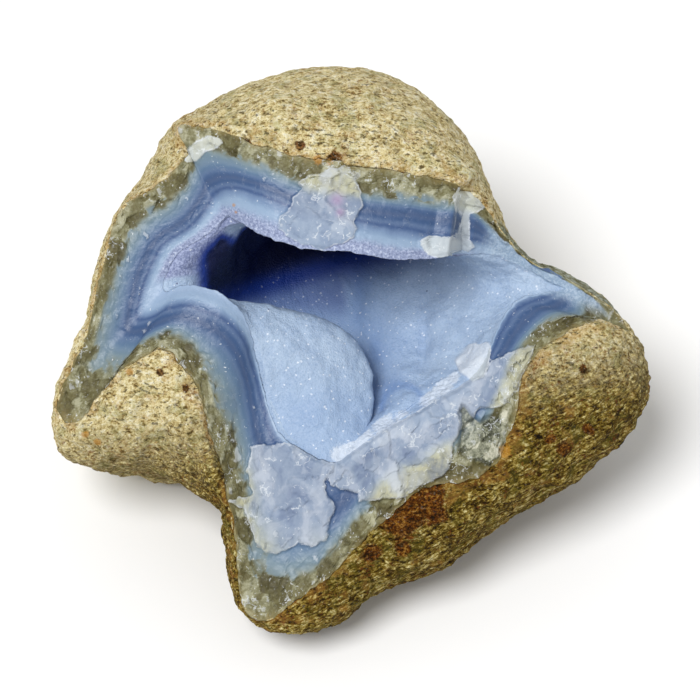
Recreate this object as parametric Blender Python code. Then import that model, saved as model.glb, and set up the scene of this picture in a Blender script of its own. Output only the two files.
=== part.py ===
"""Blue lace agate geode, broken open and lying on its rounded back.

Two pieces: the stone, which is rind and banded agate in one solid, and the thin crust of
fine crystals that lines its hollow.

The shape is set out as the broken side is seen from the front: how far to the right, how far
up and how far toward the viewer each point lies, in millimetres from the middle of that view.
Rings run round the stone, from the flat spot it rests on, up its hidden back, over the outline,
across the rind and the broken face to the mouth, and down into the hollow.
"""

import itertools
import math

import bmesh
import bpy
import numpy as np

MM = 0.001

# How the broken side is seen: from this height above the horizon, and from this far away.
VIEW_ELEVATION = math.radians(55.0)
VIEW_DISTANCE = 750.0

# The middle of the view, measured from the middle of the flat spot.
VIEW_MIDDLE = np.array((0.0, -2.0, 37.0))

# The flat spot that the stone rests on.
REST_HALF_WIDTH = 19.0
REST_HALF_DEPTH = 15.0

# Stations round the stone, counterclockwise in the front view from the left side.
# Each holds a point of the outline, of the rind's broken edge and of the mouth of the hollow,
# as millimetres right, up and toward the viewer.
STATIONS = (
    ((-47.5, 5.0, -5.0), (-46.8, 5.0, 3.0), (-33.7, 11.5, 3.5)),
    ((-53.3, -12.0, -5.0), (-52.3, -12.4, 2.0), (-32.4, 10.8, 4.5)),
    ((-52.6, -16.7, -5.0), (-49.5, -13.0, 4.0), (-31.6, 11.2, 5.0)),
    ((-44.6, -21.4, -5.0), (-41.4, -3.6, 8.5), (-29.3, 11.7, 6.0)),
    ((-36.0, -21.6, -4.0), (-33.6, 0.0, 10.0), (-26.3, 11.3, 7.0)),
    ((-30.1, -24.3, -3.0), (-27.5, -6.7, 10.5), (-22.1, 9.4, 8.0)),
    ((-24.8, -27.6, -2.0), (-24.9, -16.4, 9.5), (-18.2, 4.3, 7.0)),
    ((-23.0, -28.8, -1.0), (-23.2, -21.6, 8.5), (-17.1, -0.4, 5.5)),
    ((-22.4, -34.4, -1.0), (-20.8, -33.3, 7.0), (-14.8, -9.7, 5.5)),
    ((-19.4, -47.0, 0.0), (-18.2, -47.4, 5.0), (-11.2, -16.2, 6.5)),
    ((-15.5, -49.9, 1.0), (-15.2, -48.6, 5.0), (-8.3, -18.0, 7.0)),
    ((-9.0, -50.8, 1.0), (-11.2, -46.3, 6.0), (-5.4, -19.6, 7.5)),
    ((-3.6, -49.8, 0.0), (-5.4, -42.3, 7.0), (-3.1, -20.3, 7.5)),
    ((5.0, -43.4, -3.0), (4.5, -31.9, 7.5), (2.9, -16.4, 7.0)),
    ((18.0, -38.5, -6.0), (13.5, -25.0, 8.0), (10.1, -11.9, 6.5)),
    ((29.2, -30.1, -7.0), (24.3, -22.3, 8.0), (17.3, -7.9, 6.0)),
    ((43.2, -21.6, -6.0), (29.2, -13.5, 9.0), (22.7, -4.1, 5.5)),
    ((50.8, -13.3, -5.0), (32.0, -3.2, 9.5), (25.4, 0.9, 5.0)),
    ((53.5, -8.0, -4.0), (35.3, 0.7, 9.5), (26.3, 3.2, 4.2)),
    ((52.7, 0.0, -3.0), (45.0, 5.2, 7.0), (29.3, 8.3, 3.2)),
    ((51.4, 2.6, -2.0), (50.2, 3.4, 4.0), (32.0, 9.7, 3.0)),
    ((43.9, 10.4, -2.0), (43.4, 10.3, 2.5), (38.2, 11.0, 1.5)),
    ((39.8, 12.8, -2.0), (39.2, 12.6, 2.0), (36.6, 11.7, 1.0)),
    ((32.0, 16.7, -2.0), (31.5, 16.6, 3.0), (30.2, 15.3, 2.0)),
    ((29.5, 19.3, -3.0), (28.8, 19.4, 5.0), (27.4, 16.7, 3.2)),
    ((25.9, 27.4, -5.0), (23.0, 27.2, 9.0), (21.6, 17.3, 5.5)),
    ((22.0, 36.4, -6.0), (16.2, 30.4, 12.5), (14.4, 16.4, 13.0)),
    ((17.6, 41.8, -7.0), (11.2, 31.7, 13.5), (9.4, 16.2, 15.0)),
    ((6.3, 49.6, -8.0), (0.9, 33.3, 14.0), (0.2, 17.6, 16.0)),
    ((-7.6, 50.7, -8.0), (-9.4, 34.9, 13.5), (-9.0, 18.4, 14.5)),
    ((-18.9, 47.7, -8.0), (-18.9, 37.6, 11.5), (-15.7, 20.7, 11.5)),
    ((-27.7, 43.0, -7.0), (-27.5, 40.3, 6.5), (-20.7, 23.4, 7.5)),
    ((-31.6, 41.0, -6.0), (-31.0, 40.2, 5.0), (-22.0, 24.1, 6.0)),
    ((-35.6, 34.6, -6.0), (-29.3, 35.5, 5.5), (-23.9, 22.3, 5.0)),
    ((-38.9, 29.3, -6.0), (-33.7, 30.4, 5.5), (-27.0, 20.0, 4.5)),
    ((-41.8, 25.2, -6.0), (-40.4, 26.3, 4.0), (-30.6, 17.5, 4.0)),
    ((-45.4, 15.8, -5.0), (-44.4, 15.7, 3.5), (-32.9, 13.9, 3.5)),
)

# The hollow: its widest ring behind the mouth is an ellipse, and beyond it the far wall draws
# together at the floor.
HOLLOW_CENTRE = (-3.0, 8.0)
HOLLOW_RADII = (22.0, 20.0)
HOLLOW_DEPTH = -12.5
HOLLOW_FLOOR = np.array((-10.0, 22.5, -27.0))

# The hollow's sides, by station: the brink where the surface drops away, and the foot of that
# drop. Stations 5 to 13 are the large bulb, and 25 to 27 pass behind the top wall.
DROPS = {
    5: ((-20.5, 8.8, 5.0), (-23.0, 7.5, -13.0)),
    6: ((-14.5, 7.6, 3.0), (-18.0, 6.0, -14.0)),
    7: ((-7.5, 7.8, 1.2), (-12.0, 4.5, -15.0)),
    8: ((2.8, 2.0, -0.2), (-5.0, 1.5, -15.0)),
    9: ((4.8, -6.5, 0.0), (-1.0, -4.0, -12.0)),
    10: ((4.6, -11.0, 1.0), (1.5, -8.5, -8.5)),
    11: ((4.2, -13.5, 2.5), (3.0, -11.0, -5.0)),
    12: ((2.6, -14.4, 4.0), (4.4, -12.0, -2.0)),
    13: ((2.4, -14.7, 4.8), (6.0, -10.8, -0.5)),
    14: ((8.2, -12.2, 4.0), (8.8, -7.5, -2.0)),
    15: ((14.5, -7.0, 1.8), (10.6, -3.0, -5.0)),
    16: ((19.5, -2.5, 0.4), (12.0, 2.0, -7.5)),
    17: ((22.5, 2.0, 0.4), (13.4, 6.0, -8.8)),
    18: ((24.0, 4.0, 0.5), (13.8, 8.0, -9.8)),
    19: ((26.5, 8.0, 0.6), (14.0, 9.6, -10.6)),
    20: ((29.0, 9.5, 0.6), (13.8, 11.4, -11.2)),
    21: ((34.0, 11.0, 0.6), (13.4, 13.2, -11.8)),
    22: ((33.0, 12.2, 0.6), (13.0, 14.8, -12.2)),
    23: ((28.0, 14.0, 0.6), (12.6, 16.2, -12.4)),
    24: ((24.5, 15.0, 0.4), (12.0, 17.6, -12.8)),
    25: ((19.6, 16.8, -0.5), (11.0, 19.6, -13.0)),
    26: ((14.8, 20.0, 2.0), (8.4, 21.8, -14.2)),
    27: ((9.6, 22.0, 2.0), (4.0, 24.2, -15.7)),
    33: ((-21.4, 20.6, 2.2), (-19.6, 20.5, -13.0)),
    34: ((-22.6, 18.4, 1.7), (-20.0, 18.3, -13.0)),
    35: ((-24.6, 16.0, 1.3), (-20.4, 15.6, -13.0)),
    36: ((-26.2, 13.8, 1.0), (-20.8, 13.2, -13.0)),
    0: ((-26.8, 12.2, 0.8), (-21.2, 11.4, -13.0)),
    1: ((-26.6, 11.2, 0.7), (-21.6, 10.2, -13.0)),
    2: ((-26.2, 10.6, 0.6), (-22.0, 9.2, -13.0)),
    3: ((-25.6, 10.2, 0.6), (-22.4, 8.4, -13.0)),
    4: ((-24.6, 9.8, 0.8), (-22.8, 7.8, -13.0)),
}
SHELF_SWELL = 0.14
BRINK_SHARE = 0.4

# Soft swellings (above 0) and creases (below 0) of the far wall, toward the viewer: middle and
# half sizes in the front view, and height.
FAR_FORMS = (
    (9.5, -10.0, 4.4, 3.8, 2.4),
    (6.5, 0.0, 5.6, 9.0, 1.6),
    (13.4, 2.0, 1.6, 7.0, -1.3),
    (1.2, 9.0, 1.6, 7.0, -1.3),
    (21.0, 8.0, 8.0, 6.0, 0.8),
)
PATH_SMOOTHING = 16
FAR_SMOOTHING = 120
NORMAL_SMOOTHING = 24

# Chips and ledges on the broken face: outline in the front view and height.
LEDGES = {
    "top plate": (
        0.8,
        ((-13.0, 20.7), (-12.4, 23.2), (-10.4, 27.0), (-10.4, 29.2), (-7.0, 31.0),
         (-1.8, 32.8), (1.0, 29.0), (-0.5, 23.0), (-6.0, 20.0)),
    ),
    "lower right plate": (
        1.0,
        ((-2.9, -20.2), (3.8, -16.2), (7.7, -13.3), (10.6, -12.2), (14.8, -8.8), (16.5, -6.0),
         (19.8, -4.3), (25.4, -1.8), (33.5, 1.1), (30.2, -7.4), (26.8, -9.9), (20.9, -13.0),
         (18.2, -21.8), (9.5, -26.1), (1.6, -27.2), (-3.6, -24.3)),
    ),
    "lower left plate": (
        0.9,
        ((-18.0, -17.3), (-9.2, -17.3), (-4.3, -19.1), (-3.6, -21.8), (-3.2, -30.6),
         (-7.0, -35.3), (-13.5, -36.9), (-16.9, -37.1), (-17.3, -27.9)),
    ),
    "right scar": (
        -1.6,
        ((20.2, -9.9), (23.4, -13.5), (29.2, -9.5), (28.4, -17.1), (25.2, -21.8), (19.6, -18.0)),
    ),
}
LEDGE_EDGE = 2.4

# Surface relief: height and cell size.
RIND_LUMPS = (1.7, 13.0)
RIND_GRAIN = (0.6, 4.8)
FACE_WAVES = (0.55, 9.0)
CRYSTAL_FACETS = 0.18

# The crust: how far in from the mouth its first rings lie, how deep the stone is recessed for it
# there and beyond them, and the gap that keeps it clear of the stone.
RIM_STEPS = (0.0, 1.5, 3.0)
RECESS = (0.0, 0.7, 1.1)
ROW_STEP_LEAST = 1.2
CRUST_GAP = 0.3

# How many points round each ring, and how many rings on each surface.
ROUND_COUNT = 80
BACK_ROWS = 7
RIND_ROWS = 4
FACE_ROWS = 7
BRINK_ROWS = 3
DROP_ROWS = 4
FLOOR_ROWS = 4
PATH_POINTS = 40

UP_IN_VIEW = np.array((0.0, math.sin(VIEW_ELEVATION), math.cos(VIEW_ELEVATION)))
TO_VIEWER = np.array((0.0, -math.cos(VIEW_ELEVATION), math.sin(VIEW_ELEVATION)))


def smooth(value):
    """0 below 0, 1 above 1, and a smooth rise between them."""
    value = np.clip(value, 0.0, 1.0)
    return value * value * (3.0 - 2.0 * value)


def lattice_noise(points, cell, seed):
    """Noise from -1 to 1: random values on a cubic lattice, blended smoothly between its corners."""
    values = np.random.default_rng(seed).uniform(-1.0, 1.0, 4096)
    scaled = points / cell
    corner = np.floor(scaled).astype(int)
    part = smooth(scaled - corner)
    total = np.zeros(points.shape[:-1])
    for step in itertools.product((0, 1), repeat=3):
        key = (corner + step) @ np.array((73, 179, 283))
        weight = np.prod(np.where(step, part, 1.0 - part), axis=-1)
        total += weight * values[key % 4096]
    return total


def place(view_points):
    """Real positions of points given as right, up and toward the viewer.

    A nearer point is drawn in by the view's perspective, so it stays on its line of sight.
    """
    toward = view_points[..., 2:3]
    nearer = 1.0 - toward / VIEW_DISTANCE
    right = view_points[..., 0:1] * nearer * np.array((1.0, 0.0, 0.0))
    up = view_points[..., 1:2] * nearer * UP_IN_VIEW
    return VIEW_MIDDLE + right + up + toward * TO_VIEWER


def bend(first, first_slope, second, second_slope, part):
    """Point on the cubic from first to second, with the given changes of place at its ends."""
    return (
        (1 + 2 * part) * (1 - part) ** 2 * first
        + part * (1 - part) ** 2 * first_slope
        + part ** 2 * (3 - 2 * part) * second
        + part ** 2 * (part - 1) * second_slope
    )


def steady_turn(across, upward, rounds):
    """The angles of a ring's points round its middle, evened out so that they only go forward."""
    angle = np.unwrap(np.arctan2(upward, across))
    even = np.arange(len(angle)) * (2 * math.pi / len(angle))
    extra = angle - even
    for _ in range(rounds):
        extra = 0.5 * extra + 0.25 * (np.roll(extra, 1) + np.roll(extra, -1))
    return even + extra


def widest_ring(mouth):
    """The hollow's widest ring, each point about as far round its centre as the mouth's."""
    angle = steady_turn(mouth[:, 0] - HOLLOW_CENTRE[0], mouth[:, 1] - HOLLOW_CENTRE[1], 10)
    return np.stack((
        HOLLOW_CENTRE[0] + HOLLOW_RADII[0] * np.cos(angle),
        HOLLOW_CENTRE[1] + HOLLOW_RADII[1] * np.sin(angle),
        np.full(len(angle), HOLLOW_DEPTH),
    ), axis=1)


def station_rings():
    """Smooth closed rings of evenly spread points, through the stations.

    They are the outline, the rind edge, the mouth, the brink and the widest ring. Where no drop
    is set, the brink is a little way from the mouth to the widest ring.
    """
    rings = np.array(STATIONS)
    mouth = rings[:, 2]
    widest = widest_ring(mouth)
    brink = mouth + BRINK_SHARE * (widest - mouth)
    for station, (edge, foot) in DROPS.items():
        brink[station] = edge
        widest[station] = foot
    rings = np.concatenate((rings, brink[:, None], widest[:, None]), axis=1)

    span = np.linalg.norm(np.roll(rings, -1, axis=0) - rings, axis=2)[:, :3].mean(axis=1)
    starts = np.concatenate(([0.0], np.cumsum(span)))
    along = np.linspace(0.0, starts[-1], ROUND_COUNT, endpoint=False)
    index = np.searchsorted(starts, along, side="right") - 1
    following = (index + 1) % len(rings)

    span = span[:, None, None]
    span_before = np.roll(span, 1, axis=0)
    slope_after = (np.roll(rings, -1, axis=0) - rings) / span
    slope_before = np.roll(slope_after, 1, axis=0)
    slope = (slope_before * span + slope_after * span_before) / (span + span_before)
    length = span[index]
    part = (along - starts[index])[:, None, None] / length
    sampled = bend(rings[index], length * slope[index],
                   rings[following], length * slope[following], part)
    return [sampled[:, ring] for ring in range(5)]


def rest_ring(outline):
    """Edge of the flat spot, each point below the outline point that it is joined to."""
    around = place(outline)
    angle = steady_turn(around[:, 0], around[:, 1], 30)
    wobble = 1.0 + 0.08 * np.sin(3 * angle + 0.6) + 0.05 * np.sin(5 * angle)
    x = REST_HALF_WIDTH * wobble * np.cos(angle)
    y = REST_HALF_DEPTH * wobble * np.sin(angle)
    return np.stack((x, y, np.zeros_like(x)), axis=1)


def curve_rows(controls, shares):
    """Rows of points on the cubic curves that run from the first control ring to the last."""
    first, second, third, last = controls
    t = shares[:, None, None]
    return (
        (1 - t) ** 3 * first
        + 3 * t * (1 - t) ** 2 * second
        + 3 * t ** 2 * (1 - t) * third
        + t ** 3 * last
    )


def back_rows(outline, rest):
    """The hidden back: out of the flat spot, round, and up to the outline along the view."""
    top = place(outline)
    height = top[:, 2:3]
    level = rest + 0.62 * (top - rest) * np.array((1.0, 1.0, 0.0))
    below = top - TO_VIEWER * (0.55 * height / TO_VIEWER[2])
    shares = np.linspace(0.0, 1.0, BACK_ROWS + 1)[:-1]
    return curve_rows((rest, level, below, top), shares)


def rind_rows(outline, rind_edge):
    """The rind on the near side: up from the outline and over to its broken edge."""
    width = np.linalg.norm((outline - rind_edge)[:, :2], axis=1)[:, None]
    rise = (rind_edge - outline)[:, 2:3]
    toward = np.array((0.0, 0.0, 1.0))
    leaving = outline + toward * (0.6 * rise + 0.12 * width)
    arriving = rind_edge + 0.45 * (outline - rind_edge) * np.array((1.0, 1.0, 0.0))
    arriving = arriving + toward * 0.16 * width
    shares = np.linspace(0.0, 1.0, RIND_ROWS + 1)[:-1]
    return curve_rows((outline, leaving, arriving, rind_edge), shares)


def inside_distance(points, outline):
    """Distance to a closed outline in the front view, above 0 inside it and below 0 outside."""
    start = np.array(outline)
    end = np.roll(start, -1, axis=0)
    edge = end - start
    offset = points[..., None, :] - start
    share = np.clip((offset * edge).sum(-1) / (edge * edge).sum(-1), 0.0, 1.0)
    nearest = np.linalg.norm(offset - share[..., None] * edge, axis=-1).min(axis=-1)
    above = (start[:, 1] > points[..., None, 1]) != (end[:, 1] > points[..., None, 1])
    rise = np.where(edge[:, 1] == 0.0, 1.0, edge[:, 1])
    crossing = start[:, 0] + (points[..., None, 1] - start[:, 1]) * edge[:, 0] / rise
    inside = (above & (points[..., None, 0] < crossing)).sum(axis=-1) % 2 == 1
    return np.where(inside, nearest, -nearest)


def face_rows(rind_edge, mouth):
    """The broken face from rind edge to mouth, with its waves, chips and ledges."""
    shares = np.linspace(0.0, 1.0, FACE_ROWS + 1)[:, None, None]
    rows = rind_edge + shares * (mouth - rind_edge)
    relief = FACE_WAVES[0] * lattice_noise(rows, FACE_WAVES[1], 5)
    for height, outline in LEDGES.values():
        relief += height * smooth(0.5 + inside_distance(rows[..., :2], outline) / LEDGE_EDGE)
    inner = smooth(6.0 * shares[..., 0]) * smooth(6.0 * (1.0 - shares[..., 0]) + 0.3)
    rows[..., 2] += relief * inner
    return rows[:-1]


def hollow_paths(mouth, brink, widest):
    """Close-set points on the paths from the mouth over the brink to the hollow's floor."""
    shelf = np.linalg.norm(brink - mouth, axis=1)[:, None]
    front = 0.5 * (mouth + brink)
    front[:, 2:3] += SHELF_SWELL * np.clip(shelf - 4.0, 0.0, None)
    floor = np.broadcast_to(HOLLOW_FLOOR, mouth.shape)
    stops = np.stack((mouth, front, brink, widest, floor))

    span = np.linalg.norm(np.diff(stops, axis=0), axis=2)[:, :, None]
    slope_between = np.diff(stops, axis=0) / span
    slope = np.empty_like(stops)
    slope[1:-1] = slope_between[:-1] * span[1:] + slope_between[1:] * span[:-1]
    slope[1:-1] /= span[1:] + span[:-1]
    slope[0] = slope_between[0]
    slope[-1] = slope_between[-1]
    part = np.linspace(0.0, 1.0, PATH_POINTS, endpoint=False)[:, None, None]
    pieces = [
        bend(stops[k], span[k] * slope[k], stops[k + 1], span[k] * slope[k + 1], part)
        for k in range(len(stops) - 1)
    ]
    paths = np.concatenate(pieces + [floor[None]])
    joined = smooth(np.linalg.norm(paths - mouth, axis=-1, keepdims=True) / 2.0)
    paths = paths + joined * (even_out(paths, PATH_SMOOTHING) - paths)
    marks = (np.arange(len(paths)) / PATH_POINTS)[:, None, None]
    paths = paths + smooth(marks - 2.5) * (even_out(paths, FAR_SMOOTHING) - paths)
    paths[..., 2] += smooth(marks[..., 0] - 1.6) * joined[..., 0] * far_forms(paths)
    return paths


def even_out(rows, rounds):
    """Draw every ring but the first and last toward its neighbours, a number of times."""
    rows = rows.copy()
    for _ in range(rounds):
        beside = np.roll(rows, 1, axis=1) + np.roll(rows, -1, axis=1)
        rows[1:-1] = 0.5 * rows[1:-1] + 0.125 * (beside[1:-1] + rows[2:] + rows[:-2])
    return rows


def far_forms(points):
    """How far the far wall stands out toward the viewer over its plain curves: a sum of bells."""
    total = np.zeros(points.shape[:-1])
    for right, up, half_width, half_height, height in FAR_FORMS:
        square = ((points[..., 0] - right) / half_width) ** 2
        square = square + ((points[..., 1] - up) / half_height) ** 2
        total += height * np.exp(-1.4 * square)
    return total


def row_distances(along):
    """How far along its path each ring's points lie, from the distances of the path points.

    The first rings keep their steps from the mouth. The others share out the stretches before
    the brink, down to the widest ring and on to the floor.
    """
    marks = np.concatenate((
        np.linspace(1.0, 2.0, BRINK_ROWS),
        np.linspace(2.0, 3.0, DROP_ROWS + 1)[1:],
        np.linspace(3.0, 4.0, FLOOR_ROWS + 1)[1:],
    ))
    rim = np.repeat(np.array(RIM_STEPS)[:, None], ROUND_COUNT, axis=1)
    distances = np.concatenate((rim, along[np.round(marks * PATH_POINTS).astype(int)]))
    for row in range(1, len(distances)):
        distances[row] = np.maximum(distances[row], distances[row - 1] + ROW_STEP_LEAST)
    return distances


def hollow_surface(mouth, brink, widest):
    """The hollow's rings, and the direction that leads into the stone at each point."""
    paths = hollow_paths(mouth, brink, widest)
    into_stone = surface_normals(paths) * -1.0
    at_floor = into_stone[-20].mean(axis=0)
    at_floor /= np.linalg.norm(at_floor)
    near_floor = smooth(np.linspace(-6.0, 1.0, len(paths)))[:, None, None]
    into_stone = even_out(into_stone + near_floor * (at_floor - into_stone), NORMAL_SMOOTHING)

    pieces = np.linalg.norm(np.diff(paths, axis=0), axis=-1)
    along = np.concatenate((np.zeros((1, ROUND_COUNT)), np.cumsum(pieces, axis=0)))
    distances = row_distances(along)
    rows = np.empty((len(distances), ROUND_COUNT, 3))
    directions = np.empty_like(rows)
    for station in range(ROUND_COUNT):
        for axis in range(3):
            wanted, known = distances[:, station], along[:, station]
            rows[:, station, axis] = np.interp(wanted, known, paths[:, station, axis])
            directions[:, station, axis] = np.interp(wanted, known, into_stone[:, station, axis])
    return rows, directions / np.linalg.norm(directions, axis=-1, keepdims=True)


def surface_normals(rows):
    """Unit normals of a grid of rings, facing out of the stone."""
    around = np.roll(rows, -1, axis=1) - np.roll(rows, 1, axis=1)
    along = np.gradient(rows, axis=0)
    normal = np.cross(around, along)
    return normal / np.maximum(np.linalg.norm(normal, axis=-1, keepdims=True), 1e-9)


def roughen(rows, keep_flat):
    """Push the rind's rings in and out by its lumps and grain."""
    relief = RIND_LUMPS[0] * lattice_noise(rows, RIND_LUMPS[1], 11)
    relief += RIND_GRAIN[0] * lattice_noise(rows, RIND_GRAIN[1], 12)
    return rows + surface_normals(rows) * (relief * keep_flat)[..., None]


def ring_faces(row_count, first=0):
    """Triangles that join rings of points, each ring to the next."""
    faces = []
    for row in range(row_count - 1):
        low = first + row * ROUND_COUNT
        high = low + ROUND_COUNT
        for step in range(ROUND_COUNT):
            beside = (step + 1) % ROUND_COUNT
            faces.append((low + step, low + beside, high + beside))
            faces.append((low + step, high + beside, high + step))
    return faces


def fan_faces(ring_start, tip, outward):
    """Triangles that close a ring to a single point."""
    faces = []
    for step in range(ROUND_COUNT):
        beside = ring_start + (step + 1) % ROUND_COUNT
        here = ring_start + step
        faces.append((here, beside, tip) if outward else (beside, here, tip))
    return faces


def make_object(name, points, faces, material):
    """A mesh object from points in millimetres, with its faces turned outward."""
    mesh = bpy.data.meshes.new(name)
    mesh.from_pydata((points * MM).tolist(), [], faces)
    work = bmesh.new()
    work.from_mesh(mesh)
    bmesh.ops.recalc_face_normals(work, faces=work.faces)
    work.to_mesh(mesh)
    work.free()
    mesh.polygons.foreach_set("use_smooth", (True,) * len(mesh.polygons))
    mesh.materials.append(material)
    made = bpy.data.objects.new(name, mesh)
    bpy.context.scene.collection.objects.link(made)
    return made


def make_material(name, colour, roughness):
    """A plain Principled material."""
    material = bpy.data.materials.new(name)
    material.use_nodes = True
    shader = material.node_tree.nodes["Principled BSDF"]
    shader.inputs["Base Color"].default_value = (*colour, 1.0)
    shader.inputs["Roughness"].default_value = roughness
    shader.inputs["Metallic"].default_value = 0.0
    return material


def recess_depths(row_count):
    """How deep each ring of the hollow is recessed for the crust."""
    return np.array((RECESS + (RECESS[-1],) * row_count)[:row_count])[:, None, None]


def build_stone(outline, rind_edge, mouth, brink, widest):
    """The stone: flat spot, back, rind, broken face and the recess that holds the crust."""
    rest = rest_ring(outline)
    outside = np.concatenate((
        back_rows(outline, rest),
        place(rind_rows(outline, rind_edge)),
    ))
    share = np.arange(len(outside), dtype=float)[:, None]
    width = np.linalg.norm((outline - rind_edge)[:, :2], axis=1)
    keep_flat = smooth(share / 2.5) * (1.0 - 0.75 * np.exp(-((share - BACK_ROWS) / 1.2) ** 2))
    near_edge = smooth((share - BACK_ROWS + 1.0) / RIND_ROWS)
    keep_flat = keep_flat * (1.0 - near_edge * (1.0 - smooth(width / 14.0)))
    outside = roughen(outside, keep_flat)
    outside[:, :, 2] = np.maximum(outside[:, :, 2], 0.0)

    rows, into_stone = hollow_surface(mouth, brink, widest)
    inside = place(rows + into_stone * recess_depths(len(rows)))
    floor = inside[-1].mean(axis=0)

    rings = np.concatenate((outside, place(face_rows(rind_edge, mouth)), inside[:-1]))
    flat_middle = np.zeros(3)
    points = np.concatenate((rings.reshape(-1, 3), (flat_middle, floor)))
    flat_index = len(points) - 2
    floor_index = len(points) - 1
    faces = ring_faces(len(rings))
    faces += fan_faces(0, flat_index, False)
    faces += fan_faces((len(rings) - 1) * ROUND_COUNT, floor_index, True)
    rock = make_material("agate_and_rind", (0.46, 0.42, 0.30), 0.85)
    return make_object("geode_stone", points, faces, rock)


def build_crust(mouth, brink, widest):
    """The crust of fine crystals: a thin closed shell that lines the hollow."""
    rows, into_stone = hollow_surface(mouth, brink, widest)
    thickness = recess_depths(len(rows)) - CRUST_GAP
    facets = np.random.default_rng(21).uniform(-CRYSTAL_FACETS, CRYSTAL_FACETS, rows.shape[:2])
    inner = np.arange(len(rows))
    facets *= (smooth(inner / 3.0 - 0.4) * smooth((len(rows) - 2 - inner) / 3.0))[:, None]
    front = place(rows + into_stone * facets[..., None])
    back = place(rows + into_stone * thickness)
    front_floor = front[-1].mean(axis=0)
    back_floor = back[-1].mean(axis=0)

    rings = np.concatenate((front[1:-1][::-1], back[1:-1]))
    points = np.concatenate((rings.reshape(-1, 3), (front_floor, back_floor)))
    faces = ring_faces(len(rings))
    faces += fan_faces(0, len(points) - 2, False)
    faces += fan_faces((len(rings) - 1) * ROUND_COUNT, len(points) - 1, True)
    druse = make_material("blue_druse", (0.50, 0.60, 0.82), 0.45)
    return make_object("druzy_crust", points, faces, druse)


def main():
    for old in list(bpy.data.objects):
        bpy.data.objects.remove(old, do_unlink=True)
    outline, rind_edge, mouth, brink, widest = station_rings()
    build_stone(outline, rind_edge, mouth, brink, widest)
    build_crust(mouth, brink, widest)


main()
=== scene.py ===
"""Looks of the blue lace agate geode: its rind, its banded wall and the druse of its hollow.

Each piece is a closed surface of rings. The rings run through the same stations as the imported
solid's, much closer together, and carry the finer relief of broken agate, rind and crystals.
Lengths are in millimetres until a mesh is made. A place in the front view is given in the view's
own pixels, of which 700 fill its width.
"""

import itertools
import math

import bpy
import numpy as np
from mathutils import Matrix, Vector


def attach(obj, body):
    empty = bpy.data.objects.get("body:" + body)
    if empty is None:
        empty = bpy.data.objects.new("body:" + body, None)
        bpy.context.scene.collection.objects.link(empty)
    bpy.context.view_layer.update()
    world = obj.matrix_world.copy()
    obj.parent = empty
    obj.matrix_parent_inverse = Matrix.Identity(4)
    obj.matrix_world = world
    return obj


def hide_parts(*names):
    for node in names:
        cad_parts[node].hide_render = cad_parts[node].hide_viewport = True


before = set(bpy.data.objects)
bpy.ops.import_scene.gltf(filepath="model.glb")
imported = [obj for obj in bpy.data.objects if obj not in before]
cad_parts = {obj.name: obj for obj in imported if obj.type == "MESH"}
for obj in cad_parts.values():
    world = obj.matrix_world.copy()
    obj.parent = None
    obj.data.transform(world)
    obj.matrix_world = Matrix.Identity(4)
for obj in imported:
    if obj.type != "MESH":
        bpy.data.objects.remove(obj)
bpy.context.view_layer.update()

MM = 0.001

# The front view: its height above the horizon, its distance, its middle and the size of a pixel.
VIEW_ELEVATION = math.radians(55.0)
VIEW_DISTANCE = 750.0
VIEW_MIDDLE = np.array((0.0, -2.0, 37.0))
VIEW_WIDTH = 126.0
VIEW_PIXELS = 700
PIXEL = VIEW_WIDTH / VIEW_PIXELS

UP_IN_VIEW = np.array((0.0, math.sin(VIEW_ELEVATION), math.cos(VIEW_ELEVATION)))
TO_VIEWER = np.array((0.0, -math.cos(VIEW_ELEVATION), math.sin(VIEW_ELEVATION)))

# The light: the sun's strength, its spread in radians and its turn in degrees, and the sky.
SUN_STRENGTH = 2.5
SUN_SPREAD = 0.45
SUN_TURN = (19.0, -18.0, 0.0)
SKY_STRENGTH = 0.5

# Length of a table of random values, and how far each axis of a lattice steps through it.
TABLE_LENGTH = 4096
TABLE_STRIDES = np.array((73, 179, 283))

# The flat spot: its half sizes, and waves in its outline as height, number and start.
REST_HALF_WIDTH = 19.0
REST_HALF_DEPTH = 15.0
REST_WAVES = ((0.08, 3, 0.6), (0.05, 5, 0.0))

# Rounds of evening out the angles of the hollow's widest ring and of the flat spot.
WIDEST_ROUNDS = 10
REST_ROUNDS = 30

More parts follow.
